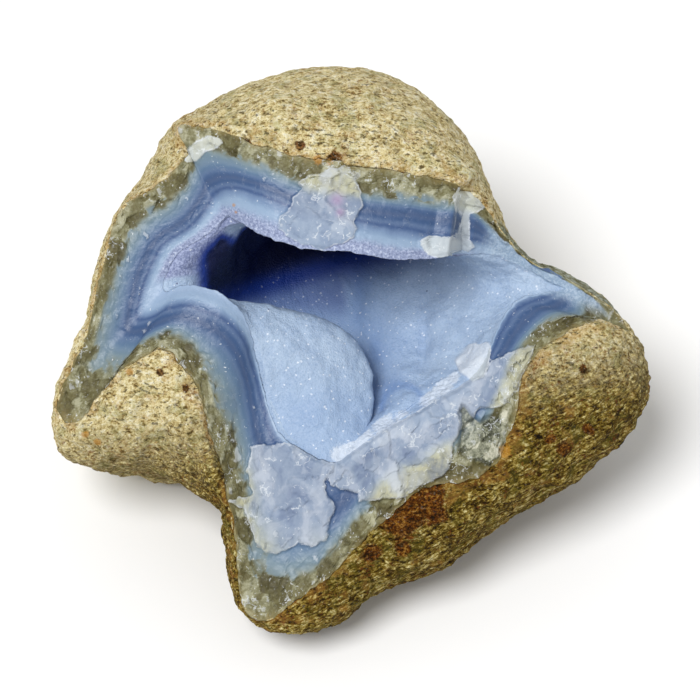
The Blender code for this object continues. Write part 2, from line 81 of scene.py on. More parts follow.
# Stations round the stone, counterclockwise in the front view from the left side.
# Each holds a point of the outline, of the rind's broken edge and of the mouth of the hollow,
# as millimetres right, up and toward the viewer.
STATIONS = (
    ((-47.5, 5.0, -5.0), (-46.8, 5.0, 3.0), (-33.7, 11.5, 3.5)),
    ((-53.3, -12.0, -5.0), (-52.3, -12.4, 2.0), (-32.4, 10.8, 4.5)),
    ((-52.6, -16.7, -5.0), (-49.5, -13.0, 4.0), (-31.6, 11.2, 5.0)),
    ((-44.6, -21.4, -5.0), (-41.4, -3.6, 8.5), (-29.3, 11.7, 6.0)),
    ((-36.0, -21.6, -4.0), (-33.6, 0.0, 10.0), (-26.3, 11.3, 7.0)),
    ((-30.1, -24.3, -3.0), (-27.5, -6.7, 10.5), (-22.1, 9.4, 8.0)),
    ((-24.8, -27.6, -2.0), (-24.9, -16.4, 9.5), (-18.2, 4.3, 7.0)),
    ((-23.0, -28.8, -1.0), (-23.2, -21.6, 8.5), (-17.1, -0.4, 5.5)),
    ((-22.4, -34.4, -1.0), (-20.8, -33.3, 7.0), (-14.8, -9.7, 5.5)),
    ((-19.4, -47.0, 0.0), (-18.2, -47.4, 5.0), (-11.2, -16.2, 6.5)),
    ((-15.5, -49.9, 1.0), (-15.2, -48.6, 5.0), (-8.3, -18.0, 7.0)),
    ((-9.0, -50.8, 1.0), (-11.2, -46.3, 6.0), (-5.4, -19.6, 7.5)),
    ((-3.6, -49.8, 0.0), (-5.4, -42.3, 7.0), (-3.1, -20.3, 7.5)),
    ((5.0, -43.4, -3.0), (4.5, -31.9, 7.5), (2.9, -16.4, 7.0)),
    ((18.0, -38.5, -6.0), (13.5, -25.0, 8.0), (10.1, -11.9, 6.5)),
    ((29.2, -30.1, -7.0), (24.3, -22.3, 8.0), (17.3, -7.9, 6.0)),
    ((43.2, -21.6, -6.0), (29.2, -13.5, 9.0), (22.7, -4.1, 5.5)),
    ((50.8, -13.3, -5.0), (32.0, -3.2, 9.5), (25.4, 0.9, 5.0)),
    ((53.5, -8.0, -4.0), (35.3, 0.7, 9.5), (26.3, 3.2, 4.2)),
    ((52.7, 0.0, -3.0), (45.0, 5.2, 7.0), (29.3, 8.3, 3.2)),
    ((51.4, 2.6, -2.0), (50.2, 3.4, 4.0), (32.0, 9.7, 3.0)),
    ((43.9, 10.4, -2.0), (43.4, 10.3, 2.5), (38.2, 11.0, 1.5)),
    ((39.8, 12.8, -2.0), (39.2, 12.6, 2.0), (36.6, 11.7, 1.0)),
    ((32.0, 16.7, -2.0), (31.5, 16.6, 3.0), (30.2, 15.3, 2.0)),
    ((29.5, 19.3, -3.0), (28.8, 19.4, 5.0), (27.4, 16.7, 3.2)),
    ((25.9, 27.4, -5.0), (23.0, 27.2, 9.0), (21.6, 17.3, 5.5)),
    ((22.0, 36.4, -6.0), (16.2, 30.4, 12.5), (14.4, 16.4, 13.0)),
    ((17.6, 41.8, -7.0), (11.2, 31.7, 13.5), (9.4, 16.2, 15.0)),
    ((6.3, 49.6, -8.0), (0.9, 33.3, 14.0), (0.2, 17.6, 16.0)),
    ((-7.6, 50.7, -8.0), (-9.4, 34.9, 13.5), (-9.0, 18.4, 14.5)),
    ((-18.9, 47.7, -8.0), (-18.9, 37.6, 11.5), (-15.7, 20.7, 11.5)),
    ((-27.7, 43.0, -7.0), (-27.5, 40.3, 6.5), (-20.7, 23.4, 7.5)),
    ((-31.6, 41.0, -6.0), (-31.0, 40.2, 5.0), (-22.0, 24.1, 6.0)),
    ((-35.6, 34.6, -6.0), (-29.3, 35.5, 5.5), (-23.9, 22.3, 5.0)),
    ((-38.9, 29.3, -6.0), (-33.7, 30.4, 5.5), (-27.0, 20.0, 4.5)),
    ((-41.8, 25.2, -6.0), (-40.4, 26.3, 4.0), (-30.6, 17.5, 4.0)),
    ((-45.4, 15.8, -5.0), (-44.4, 15.7, 3.5), (-32.9, 13.9, 3.5)),
)

# Where the wall's bands change, station by station, as shares of the way from rind to mouth:
# the olive zone ends, the dark blue band begins and the dark blue band ends.
BAND_SHARES = (
    (0.18, 0.50, 0.72), (0.42, 0.63, 0.80), (0.42, 0.63, 0.82), (0.33, 0.46, 0.78),
    (0.25, 0.44, 0.74), (0.25, 0.56, 0.82), (0.28, 0.66, 0.90), (0.30, 0.68, 0.94),
    (0.34, 0.64, 0.97), (0.25, 0.62, 0.97), (0.24, 0.52, 0.97), (0.20, 0.48, 0.97),
    (0.20, 0.46, 0.96), (0.32, 0.52, 0.85), (0.30, 0.52, 0.76), (0.45, 0.60, 0.75),
    (0.40, 0.60, 0.90), (0.38, 0.55, 0.96), (0.42, 0.55, 0.96), (0.40, 0.58, 0.96),
    (0.42, 0.62, 0.96), (0.42, 0.60, 0.86), (0.16, 0.20, 0.23), (0.16, 0.20, 0.24),
    (0.28, 0.42, 0.60), (0.24, 0.36, 0.76), (0.30, 0.40, 0.72), (0.30, 0.40, 0.70),
    (0.30, 0.42, 0.66), (0.26, 0.42, 0.62), (0.22, 0.38, 0.58), (0.24, 0.48, 0.70),
    (0.30, 0.56, 0.78), (0.20, 0.48, 0.74), (0.28, 0.56, 0.80), (0.30, 0.57, 0.79),
    (0.22, 0.50, 0.76),
)

# The hollow's widest ring where no drop is stated, and the middle of its floor.
HOLLOW_CENTRE = (-3.0, 8.0)
HOLLOW_RADII = (22.0, 20.0)
HOLLOW_DEPTH = -12.5
HOLLOW_FLOOR = np.array((-10.0, 22.5, -27.0))

# The hollow's sides, by station: the brink where the surface drops away, and the foot of that
# drop. Stations 5 to 13 are the large bulb, and 25 to 27 pass behind the top wall.
DROPS = {
    5: ((-20.5, 8.8, 5.0), (-23.0, 7.5, -13.0)),
    6: ((-14.5, 7.6, 3.0), (-18.0, 6.0, -14.0)),
    7: ((-7.5, 7.8, 1.2), (-12.0, 4.5, -15.0)),
    8: ((2.8, 2.0, -0.2), (-5.0, 1.5, -15.0)),
    9: ((4.8, -6.5, 0.0), (-1.0, -4.0, -12.0)),
    10: ((4.6, -11.0, 1.0), (1.5, -8.5, -8.5)),
    11: ((4.2, -13.5, 2.5), (3.0, -11.0, -5.0)),
    12: ((2.6, -14.4, 4.0), (4.4, -12.0, -2.0)),
    13: ((2.4, -14.7, 4.8), (6.0, -10.8, -0.5)),
    14: ((8.2, -12.2, 4.0), (8.8, -7.5, -2.0)),
    15: ((14.5, -7.0, 1.8), (10.6, -3.0, -5.0)),
    16: ((19.5, -2.5, 0.4), (12.0, 2.0, -7.5)),
    17: ((22.5, 2.0, 0.4), (13.4, 6.0, -8.8)),
    18: ((24.0, 4.0, 0.5), (13.8, 8.0, -9.8)),
    19: ((26.5, 8.0, 0.6), (14.0, 9.6, -10.6)),
    20: ((29.0, 9.5, 0.6), (13.8, 11.4, -11.2)),
    21: ((34.0, 11.0, 0.6), (13.4, 13.2, -11.8)),
    22: ((33.0, 12.2, 0.6), (13.0, 14.8, -12.2)),
    23: ((28.0, 14.0, 0.6), (12.6, 16.2, -12.4)),
    24: ((24.5, 15.0, 0.4), (12.0, 17.6, -12.8)),
    25: ((19.6, 16.8, -0.5), (11.0, 19.6, -13.0)),
    26: ((14.8, 20.0, 2.0), (8.4, 21.8, -14.2)),
    27: ((9.6, 22.0, 2.0), (4.0, 24.2, -15.7)),
    33: ((-21.4, 20.6, 2.2), (-19.6, 20.5, -13.0)),
    34: ((-22.6, 18.4, 1.7), (-20.0, 18.3, -13.0)),
    35: ((-24.6, 16.0, 1.3), (-20.4, 15.6, -13.0)),
    36: ((-26.2, 13.8, 1.0), (-20.8, 13.2, -13.0)),
    0: ((-26.8, 12.2, 0.8), (-21.2, 11.4, -13.0)),
    1: ((-26.6, 11.2, 0.7), (-21.6, 10.2, -13.0)),
    2: ((-26.2, 10.6, 0.6), (-22.0, 9.2, -13.0)),
    3: ((-25.6, 10.2, 0.6), (-22.4, 8.4, -13.0)),
    4: ((-24.6, 9.8, 0.8), (-22.8, 7.8, -13.0)),
}

# The shelf behind the mouth swells by a share of its width over a least width. A brink that
# isn't stated lies this share of the way from the mouth to the widest ring.
SHELF_SWELL = 0.14
SHELF_LEAST = 4.0
BRINK_SHARE = 0.4

# Soft swellings (above 0) and creases (below 0) of the far wall, toward the viewer: middle and
# half sizes in the front view, and height.
FAR_FORMS = (
    (9.5, -10.0, 4.4, 3.8, 2.4),
    (6.5, 0.0, 5.6, 9.0, 1.6),
    (13.4, 2.0, 1.6, 7.0, -1.3),
    (1.2, 9.0, 1.6, 7.0, -1.3),
    (21.0, 8.0, 8.0, 6.0, 0.8),
)

# Rounds of evening out the hollow's paths, their far part and the directions into the stone.
PATH_SMOOTHING = 16
FAR_SMOOTHING = 120
NORMAL_SMOOTHING = 24

# How far from the mouth the evening out sets in, the marks where the far part and the far
# forms begin, and the rings from the floor whose direction the floor takes.
EVEN_FROM_MOUTH = 2.0
FAR_MARK = 2.5
FORMS_MARK = 1.6
FLOOR_RINGS = 20

# The upright step in the top wall: the stations it lies between, its place and its width as
# shares of the way between them.
STEP_STATION = 25
STEP_PLACE = 0.42
STEP_WIDTH = 0.16

# Ragged shifts of the rind edge and of the mouth: amount, cell size and seed.
RIND_RAGGED = (0.42, 2.4, 71)
MOUTH_RAGGED = (0.2, 1.5, 75)

# Stretches of the ring in stations, as start, rise, end and fall: the lip with druse on its
# rim, and the right shoulder where pale druse covers the wall and the rind is glassy.
LIP_STRETCH = (24.6, 1.2, 36.9, 0.9)
COVER_STRETCH = (19.9, 1.1, 25.1, 1.2)

# Frosted scars where flakes have come off the broken face: height, and outline in view pixels.
SCARS = {
    "top": (
        0.7,
        ((276, 230), (281, 219), (288, 210), (292, 197), (303, 188), (297, 183), (311, 176),
         (329, 169), (346, 167), (357, 174), (353, 181), (360, 192), (364, 206), (358, 216),
         (356, 230), (344, 245), (322, 248), (304, 244), (288, 237)),
    ),
    "chip under the step": (
        0.5,
        ((420, 241), (428, 236), (440, 237), (451, 235), (462, 236), (471, 240), (474, 247),
         (466, 254), (454, 259), (440, 260), (428, 255), (421, 247)),
    ),
    "chip at the top left": (
        0.4,
        ((182, 161), (188, 150), (197, 141), (207, 135), (219, 137), (222, 143), (214, 149),
         (204, 153), (197, 162), (188, 165)),
    ),
    "face of the step": (
        0.0,
        ((452, 196), (459, 188), (470, 190), (482, 196), (490, 206), (480, 211), (471, 215),
         (470, 228), (470, 241), (452, 240), (455, 228), (457, 212)),
    ),
    "round chip": (
        0.6,
        ((453, 360), (455, 351), (461, 346), (474, 344), (490, 343), (492, 353), (489, 364),
         (484, 376), (473, 380), (462, 374)),
    ),
    "lower right": (
        1.0,
        ((334, 462), (341, 453), (354, 440), (371, 440), (377, 435), (393, 424), (409, 418),
         (432, 399), (444, 391), (440, 381), (452, 374), (460, 373), (474, 381), (485, 376),
         (491, 360), (512, 353), (536, 344), (529, 364), (520, 381), (518, 391), (512, 400),
         (499, 405), (483, 409), (466, 422), (459, 432), (454, 450), (451, 470), (442, 481),
         (420, 485), (403, 495), (385, 498), (371, 500), (359, 501), (358, 493), (348, 490),
         (340, 491), (330, 485), (327, 476)),
    ),
    "lower left": (
        0.9,
        ((250, 447), (258, 443), (271, 445), (285, 442), (299, 447), (311, 453), (322, 458),
         (326, 450), (334, 456), (330, 471), (326, 481), (329, 491), (333, 506), (332, 520),
         (326, 540), (311, 547), (299, 544), (285, 552), (275, 555), (256, 547), (252, 524),
         (243, 510), (230, 501), (250, 494), (247, 470)),
    ),
}
BRIGHT_SCARS = ("chip under the step", "chip at the top left", "face of the step", "round chip")

# Width of a scar's edge, and how far the outlines of bright and of other scars wander.
SCAR_EDGE = 0.55
BRIGHT_WANDER = 0.35
SCAR_WANDER = 0.8

# The least value of the shade that tells how far inside a scar a place is.
FAR_FROM_SCARS = -9.0

# A dull translucent scar that lies deeper than the face round it: height and outline.
DULL_SCAR = (
    -1.5,
    ((462, 405), (480, 425), (512, 404), (508, 445), (490, 471), (459, 452)),
)

# Stains on the wall and on the rind: middle in view pixels and radius in millimetres.
ORANGE_STAINS = (
    (318, 160, 1.3), (330, 163, 0.9), (505, 450, 1.7), (130, 372, 1.0), (86, 434, 0.9),
    (97, 443, 1.0), (234, 205, 0.5), (236, 212, 0.4),
)
PINK_STAINS = ((337, 200, 1.2), (340, 212, 0.8))
RUST_STAINS = (
    (414, 504, 4.0), (400, 520, 3.8), (430, 494, 3.2), (434, 512, 2.4), (372, 553, 2.0),
    (402, 546, 1.6), (590, 430, 1.2), (566, 450, 1.6), (583, 369, 0.9), (552, 440, 1.2),
    (160, 372, 0.8), (186, 388, 0.8), (245, 145, 1.4), (268, 158, 1.1), (300, 146, 1.0),
    (335, 158, 1.4),
)

# Where coarser frosty crystals stand at the edge of the druse: view pixels and radius.
FRINGE = (
    (352, 448, 3.0), (340, 455, 2.0), (366, 440, 2.4), (380, 410, 2.6), (378, 395, 1.8),
    (384, 425, 2.6), (403, 418, 1.8), (441, 386, 2.6), (428, 398, 2.0), (452, 376, 1.6),
)

# Painted shade in soft creases of the far wall: view pixels and half sizes.
PAINTED_CREASE_SHADES = ((357, 285, 7, 40), (424, 342, 6, 22), (376, 352, 7, 16), (398, 384, 22, 5))

# Painted shade in the crease round the small lobe at the bulb's foot: its middle, its radius and
# width, and how far down it reaches, all in view pixels.
LOBE_CREASE_SHADE = (403.0, 408.0, 22.0, 3.2, 416.0)

# The band coordinate round which facets and chips shift the edge of the olive zone.
OLIVE_END = 0.95

# Noises, each as height, cell size and seed. The lumps, grain and waves are the solid's own.
RIND_LUMPS = (1.7, 13.0, 11)
RIND_GRAIN = (0.6, 4.8, 12)
RIND_SAND = (0.34, 2.3, 31)
RIND_DRAWN_SAND = ((0.26, 1.05, 32), (0.15, 0.55, 33))
FACE_WAVES = (0.55, 9.0, 5)
SCAR_WANDERING = ((0.75, 2.6, 41), (0.4, 1.1, 42), (0.2, 0.5, 43))
DRUSE_SWELLINGS = ((0.45, 5.2, 62), (0.24, 2.1, 63), (0.11, 0.9, 65))

# Roughness all over the broken face, as a noise, and the relief of the face in millimetres:
# everywhere, what the olive zone adds and what a scar adds.
FACE_ROUGHNESS = (1.0, 0.9, 49)
FACE_RELIEF = {
    "tilt of facets": (0.08, 0.9, 0.4),
    "tilt of chips": (0.02, 0.5, 0.07),
    "height of facets": (0.06, 0.3, 0.12),
    "roughness": (0.03, 0.12, 0.04),
}
FACE_FADE = 0.7
FLAKE_HEIGHT = 0.2

# Strewn grains: cell size and seed, and for pits the growth and the least own value too.
FACETS = (3.4, 47)
CHIPS = (1.5, 48)
CRYSTALS = (0.95, 61)
PITS = (2.4, 34, 0.7, 0.8)
SMALL_PITS = (1.2, 35, 0.35, 0.35)

# The rind's cubic curves: where their middle control points lie, as shares of the way between
# the ends or of the rind's width. The first two shape the back, the others the seen rind.
BACK_LEVEL, BACK_BELOW = 0.62, 0.55
LEAVING_RISE, LEAVING_WIDTH = 0.6, 0.12
ARRIVING_BACK, ARRIVING_WIDTH = 0.45, 0.16

# A place that no stain reaches, for the back of the rind, which the front view doesn't see.
OUT_OF_VIEW = 900.0

# Rings and points: round each fine ring, along each surface, and on the hidden backs. Spans
# count the solid's rings.
ROUND_FINE = 800
ROUND_SOLID = 80
FINER = ROUND_FINE // ROUND_SOLID
BACK_SPAN = 7.0
RIND_SPAN = 4.0
BACK_RINGS = 100
RIND_RINGS = 66
WALL_RINGS = 112
RIND_BACK_RINGS = 24
WALL_BACK_RINGS = 12
DRUSE_BACK_MARKS = np.concatenate((np.array((3.0, 8.0)), np.linspace(16.0, 158.0, 14)))
DRUSE_MARKS = ((0.0, 2.0, 66), (2.0, 3.0, 28), (3.0, 4.0, 18))
PATH_POINTS = 40

# How thick the three skins are.
RIND_THICKNESS = 2.5
WALL_THICKNESS = 2.4
DRUSE_THICKNESS = 1.8
DRUSE_EDGE_THICKNESS = 0.3


def smooth(value):
    """0 below 0, 1 above 1, and a smooth rise between them."""
    value = np.clip(value, 0.0, 1.0)
    return value * value * (3.0 - 2.0 * value)


def table_place(corner):
    """Where the random values of a corner of a cubic lattice stand in their table."""
    return corner @ TABLE_STRIDES % TABLE_LENGTH


def lattice_noise(points, cell, seed):
    """Noise from -1 to 1: random values on a cubic lattice, blended smoothly between corners."""
    values = np.random.default_rng(seed).uniform(-1.0, 1.0, TABLE_LENGTH)
    scaled = points / cell
    corner = np.floor(scaled).astype(int)
    part = smooth(scaled - corner)
    total = np.zeros(points.shape[:-1])
    for step in itertools.product((0, 1), repeat=3):
        weight = np.prod(np.where(step, part, 1.0 - part), axis=-1)
        total += weight * values[table_place(corner + step)]
    return total


def layered_noise(points, *layers):
    """Sum of noises, each given as its height, its cell size and its seed."""
    return sum(height * lattice_noise(points, cell, seed) for height, cell, seed in layers)


def drift(points, height, cell, seeds):
    """A shift by noise in each of the three directions, with a seed for each."""
    return np.stack([height * lattice_noise(points, cell, seed) for seed in seeds], axis=-1)


def nearest_grain(points, cell, seed):
    """Distance to the nearest of the grains strewn one to each cube of a lattice, in millimetres,
    that grain's own random value from 0 to 1, and the height over a plane tilted its own way."""
    strewn = np.random.default_rng(seed).uniform(0.0, 1.0, (TABLE_LENGTH, 7))
    scaled = points / cell
    corner = np.floor(scaled).astype(int)
    nearest = np.full(points.shape[:-1], np.inf)
    own = np.zeros(points.shape[:-1])
    slant = np.zeros(points.shape[:-1])
    for step in itertools.product((-1, 0, 1), repeat=3):
        cube = corner + np.array(step)
        grain = strewn[table_place(cube)]
        offset = scaled - cube - grain[..., :3]
        distance = np.linalg.norm(offset, axis=-1)
        closer = distance < nearest
        nearest = np.where(closer, distance, nearest)
        own = np.where(closer, grain[..., 3], own)
        tilted = (offset * (2.0 * grain[..., 4:] - 1.0)).sum(axis=-1)
        slant = np.where(closer, tilted, slant)
    return nearest * cell, own, slant


def place(view_points):
    """Real positions of points given as right, up and toward the viewer.

    A nearer point is drawn in by the view's perspective, so it stays on its line of sight.
    """
    toward = view_points[..., 2:3]
    nearer = 1.0 - toward / VIEW_DISTANCE
    right = view_points[..., 0:1] * nearer * np.array((1.0, 0.0, 0.0))
    up = view_points[..., 1:2] * nearer * UP_IN_VIEW
    return VIEW_MIDDLE + right + up + toward * TO_VIEWER


def from_pixels(pixels):
    """Places in the front view in millimetres right and up of its middle, from its pixels."""
    pixels = np.asarray(pixels, dtype=float)
    half = VIEW_PIXELS / 2
    return np.stack((pixels[..., 0] - half, half - pixels[..., 1]), axis=-1) * PIXEL


def stain(view_places, spots):
    """1 in the middle of each spot, falling off round it as a bell curve."""
    total = np.zeros(view_places.shape[:-1])
    for x, y, radius in spots:
        apart = view_places[..., :2] - from_pixels((x, y))
        total = np.maximum(total, np.exp(-(apart ** 2).sum(axis=-1) / radius ** 2))
    return total


def bend(first, first_slope, second, second_slope, part):
    """Point on the cubic from first to second, with the given changes of place at its ends."""
    return (
        (1 + 2 * part) * (1 - part) ** 2 * first
        + part * (1 - part) ** 2 * first_slope
        + part ** 2 * (3 - 2 * part) * second
        + part ** 2 * (part - 1) * second_slope
    )


def steady_turn(across, upward, rounds):
    """The angles of a ring's points round its middle, evened out so that they only go forward."""
    angle = np.unwrap(np.arctan2(upward, across))
    even = np.arange(len(angle)) * (2 * math.pi / len(angle))
    extra = angle - even
    for _ in range(rounds):
        extra = 0.5 * extra + 0.25 * (np.roll(extra, 1) + np.roll(extra, -1))
    return even + extra


def widest_ring(mouth):
    """The hollow's widest ring, each point about as far round its centre as the mouth's."""
    offset = mouth[:, :2] - np.array(HOLLOW_CENTRE)
    angle = steady_turn(offset[:, 0], offset[:, 1], WIDEST_ROUNDS)
    return np.stack((
        HOLLOW_CENTRE[0] + HOLLOW_RADII[0] * np.cos(angle),
        HOLLOW_CENTRE[1] + HOLLOW_RADII[1] * np.sin(angle),
        np.full(len(angle), HOLLOW_DEPTH),
    ), axis=1)


def station_rings(count):
    """Smooth closed rings of evenly spread points through the stations.

    They are the outline, the rind edge, the mouth, the brink, the widest ring and the shares of
    the bands. The second result is how far each point lies on from the station before it, as
    that station's number plus a share.
    """
    rings = np.array(STATIONS)
    mouth = rings[:, 2]
    widest = widest_ring(mouth)
    brink = mouth + BRINK_SHARE * (widest - mouth)
    for station, (edge, foot) in DROPS.items():
        brink[station] = edge
        widest[station] = foot
    bands = np.array(BAND_SHARES)
    rings = np.concatenate((rings, brink[:, None], widest[:, None], bands[:, None]), axis=1)

    span = np.linalg.norm(np.roll(rings, -1, axis=0) - rings, axis=2)[:, :3].mean(axis=1)
    starts = np.concatenate(([0.0], np.cumsum(span)))
    along = np.linspace(0.0, starts[-1], count, endpoint=False)
    index = np.searchsorted(starts, along, side="right") - 1
    following = (index + 1) % len(rings)

    span = span[:, None, None]
    span_before = np.roll(span, 1, axis=0)
    slope_after = (np.roll(rings, -1, axis=0) - rings) / span
    slope_before = np.roll(slope_after, 1, axis=0)
    slope = (slope_before * span + slope_after * span_before) / (span + span_before)
    length = span[index]
    part = (along - starts[index])[:, None, None] / length
    sampled = bend(rings[index], length * slope[index],
                   rings[following], length * slope[following], part)
    return [sampled[:, ring] for ring in range(6)], index + part[:, 0, 0]


def rest_ring(outline):
    """Edge of the flat spot, each point below the outline point that it is joined to.

    It is an ellipse whose radius is multiplied by one plus a sum of sine waves round it.
    """
    around = place(outline)
    angle = steady_turn(around[:, 0], around[:, 1], REST_ROUNDS)
    wobble = 1.0
    for height, number, start in REST_WAVES:
        wobble = wobble + height * np.sin(number * angle + start)
    x = REST_HALF_WIDTH * wobble * np.cos(angle)
    y = REST_HALF_DEPTH * wobble * np.sin(angle)
    return np.stack((x, y, np.zeros_like(x)), axis=1)


def curve_rows(controls, shares):
    """Rows of points on the cubic curves that run from the first control ring to the last."""
    first, second, third, last = controls
    t = shares[:, None, None]
    return (
        (1 - t) ** 3 * first
        + 3 * t * (1 - t) ** 2 * second
        + 3 * t ** 2 * (1 - t) * third
        + t ** 3 * last
    )


def finer_round(rows, times):
    """Rings with more points, on the cubic curve through each ring's own points."""
    before, here, after, beyond = (np.roll(rows, k, axis=1) for k in (1, 0, -1, -2))
    part = (np.arange(times) / times)[None, None, :, None]
    here, after = here[:, :, None], after[:, :, None]
    slope_here = 0.5 * (after - before[:, :, None])
    slope_after = 0.5 * (beyond[:, :, None] - here)
    finer = bend(here, slope_here, after, slope_after, part)
    return finer.reshape(len(rows), -1, rows.shape[-1])


def at_marks(rows, marks):
    """Rings part of the way between given rings, at marks that count along them."""
    low = np.clip(np.floor(marks).astype(int), 0, len(rows) - 2)
    part = (marks - low)[:, None, None]
    return rows[low] * (1.0 - part) + rows[low + 1] * part


def surface_normals(rows):
    """Unit normals of a grid of rings, facing out of the stone."""
    around = np.roll(rows, -1, axis=1) - np.roll(rows, 1, axis=1)
    along = np.gradient(rows, axis=0)
    normal = np.cross(around, along)
    return normal / np.maximum(np.linalg.norm(normal, axis=-1, keepdims=True), 1e-9)


def inside_distance(points, outline):
    """Distance to a closed outline in the front view, above 0 inside it and below 0 outside."""
    start = np.asarray(outline)
    end = np.roll(start, -1, axis=0)
    edge = end - start
    nearest = np.full(points.shape[:-1], np.inf)
    crossings = np.zeros(points.shape[:-1], dtype=int)
    for corner, following, side in zip(start, end, edge):
        offset = points - corner
        share = np.clip((offset @ side) / (side @ side), 0.0, 1.0)
        apart = np.linalg.norm(offset - share[..., None] * side, axis=-1)
        nearest = np.minimum(nearest, apart)
        above = (corner[1] > points[..., 1]) != (following[1] > points[..., 1])
        rise = side[1] if side[1] else 1.0
        crossing = corner[0] + (points[..., 1] - corner[1]) * side[0] / rise
        crossings += above & (points[..., 0] < crossing)
    return np.where(crossings % 2 == 1, nearest, -nearest)


def even_out(rows, rounds):
    """Draw every ring but the first and last toward its neighbours, a number of times."""
    rows = rows.copy()
    for _ in range(rounds):
        beside = np.roll(rows, 1, axis=1) + np.roll(rows, -1, axis=1)
        rows[1:-1] = 0.5 * rows[1:-1] + 0.125 * (beside[1:-1] + rows[2:] + rows[:-2])
    return rows


def far_forms(points):
    """How far the far wall stands out toward the viewer over its plain curves: a sum of bells."""
    total = np.zeros(points.shape[:-1])
    for right, up, half_width, half_height, height in FAR_FORMS:
        square = ((points[..., 0] - right) / half_width) ** 2
        square = square + ((points[..., 1] - up) / half_height) ** 2
        total += height * np.exp(-1.4 * square)
    return total


def hollow_paths(mouth, brink, widest):
    """Close-set points on the paths from the mouth over the brink to the hollow's floor."""
    shelf = np.linalg.norm(brink - mouth, axis=1)[:, None]
    front = 0.5 * (mouth + brink)
    front[:, 2:3] += SHELF_SWELL * np.clip(shelf - SHELF_LEAST, 0.0, None)
    floor = np.broadcast_to(HOLLOW_FLOOR, mouth.shape)
    stops = np.stack((mouth, front, brink, widest, floor))

    span = np.linalg.norm(np.diff(stops, axis=0), axis=2)[:, :, None]
    slope_between = np.diff(stops, axis=0) / span
    slope = np.empty_like(stops)
    slope[1:-1] = slope_between[:-1] * span[1:] + slope_between[1:] * span[:-1]
    slope[1:-1] /= span[1:] + span[:-1]
    slope[0] = slope_between[0]
    slope[-1] = slope_between[-1]
    part = np.linspace(0.0, 1.0, PATH_POINTS, endpoint=False)[:, None, None]
    pieces = [
        bend(stops[k], span[k] * slope[k], stops[k + 1], span[k] * slope[k + 1], part)
        for k in range(len(stops) - 1)
    ]
    paths = np.concatenate(pieces + [floor[None]])
    from_mouth = np.linalg.norm(paths - mouth, axis=-1, keepdims=True)
    joined = smooth(from_mouth / EVEN_FROM_MOUTH)
    paths = paths + joined * (even_out(paths, PATH_SMOOTHING) - paths)
    marks = (np.arange(len(paths)) / PATH_POINTS)[:, None, None]
    paths = paths + smooth(marks - FAR_MARK) * (even_out(paths, FAR_SMOOTHING) - paths)
    paths[..., 2] += smooth(marks[..., 0] - FORMS_MARK) * joined[..., 0] * far_forms(paths)
    return paths


def into_stone(paths):
    """The direction that leads into the stone at each point of the hollow's paths."""
    inward = surface_normals(paths) * -1.0
    at_floor = inward[-FLOOR_RINGS].mean(axis=0)
    at_floor /= np.linalg.norm(at_floor)
    near_floor = smooth(np.linspace(-6.0, 1.0, len(paths)))[:, None, None]
    inward = even_out(inward + near_floor * (at_floor - inward), NORMAL_SMOOTHING)
    return inward / np.linalg.norm(inward, axis=-1, keepdims=True)


def with_step(ring, where):
    """A ring of the top wall with its drop toward the right drawn together into an upright step."""
    part = where - STEP_STATION
    inside = (part > 0.0) & (part < 1.0)
    low = ring[inside][0]
    high = ring[inside][-1]
    ring = ring.copy()
    sharp = smooth((part - STEP_PLACE) / STEP_WIDTH)
    drop = (high - low)[2] * (sharp - part)
    ring[:, 2] += np.where(inside, drop, 0.0)
    return ring


def ragged(ring, amount, cell, seed):
    """Small shifts of a ring's points in the front view, by noise of two sizes."""
    finer = cell * 0.37
    right, up = (
        layered_noise(ring, (1.0, cell, first), (0.6, finer, first + 1))
        for first in (seed, seed + 2)
    )
    return amount * np.stack((right, up, np.zeros(len(ring))), axis=1)


def join_rings(first, first_count, second, second_count):
    """Triangles between two rings, given their first points and counts; a count may be 1.

    Each side of the closer-set ring runs to the nearest point of the other, and each side of the
    other ring to the point of the closer-set one where that nearest point changes.
    """
    if first_count < second_count:
        return join_rings(second, second_count, first, first_count)[:, ::-1]
    ratio = first_count // second_count
    step = np.arange(first_count)
    partner = (2 * step + 1 + ratio) // (2 * ratio) % second_count
    fans = np.stack((first + step, first + (step + 1) % first_count, second + partner), axis=1)
    if second_count == 1:
        return fans
    side = np.arange(second_count)
    change = (side * ratio + ratio // 2) % first_count
    beside = (side + 1) % second_count
    between = np.stack((first + change, second + beside, second + side), axis=1)
    return np.concatenate((fans, between))


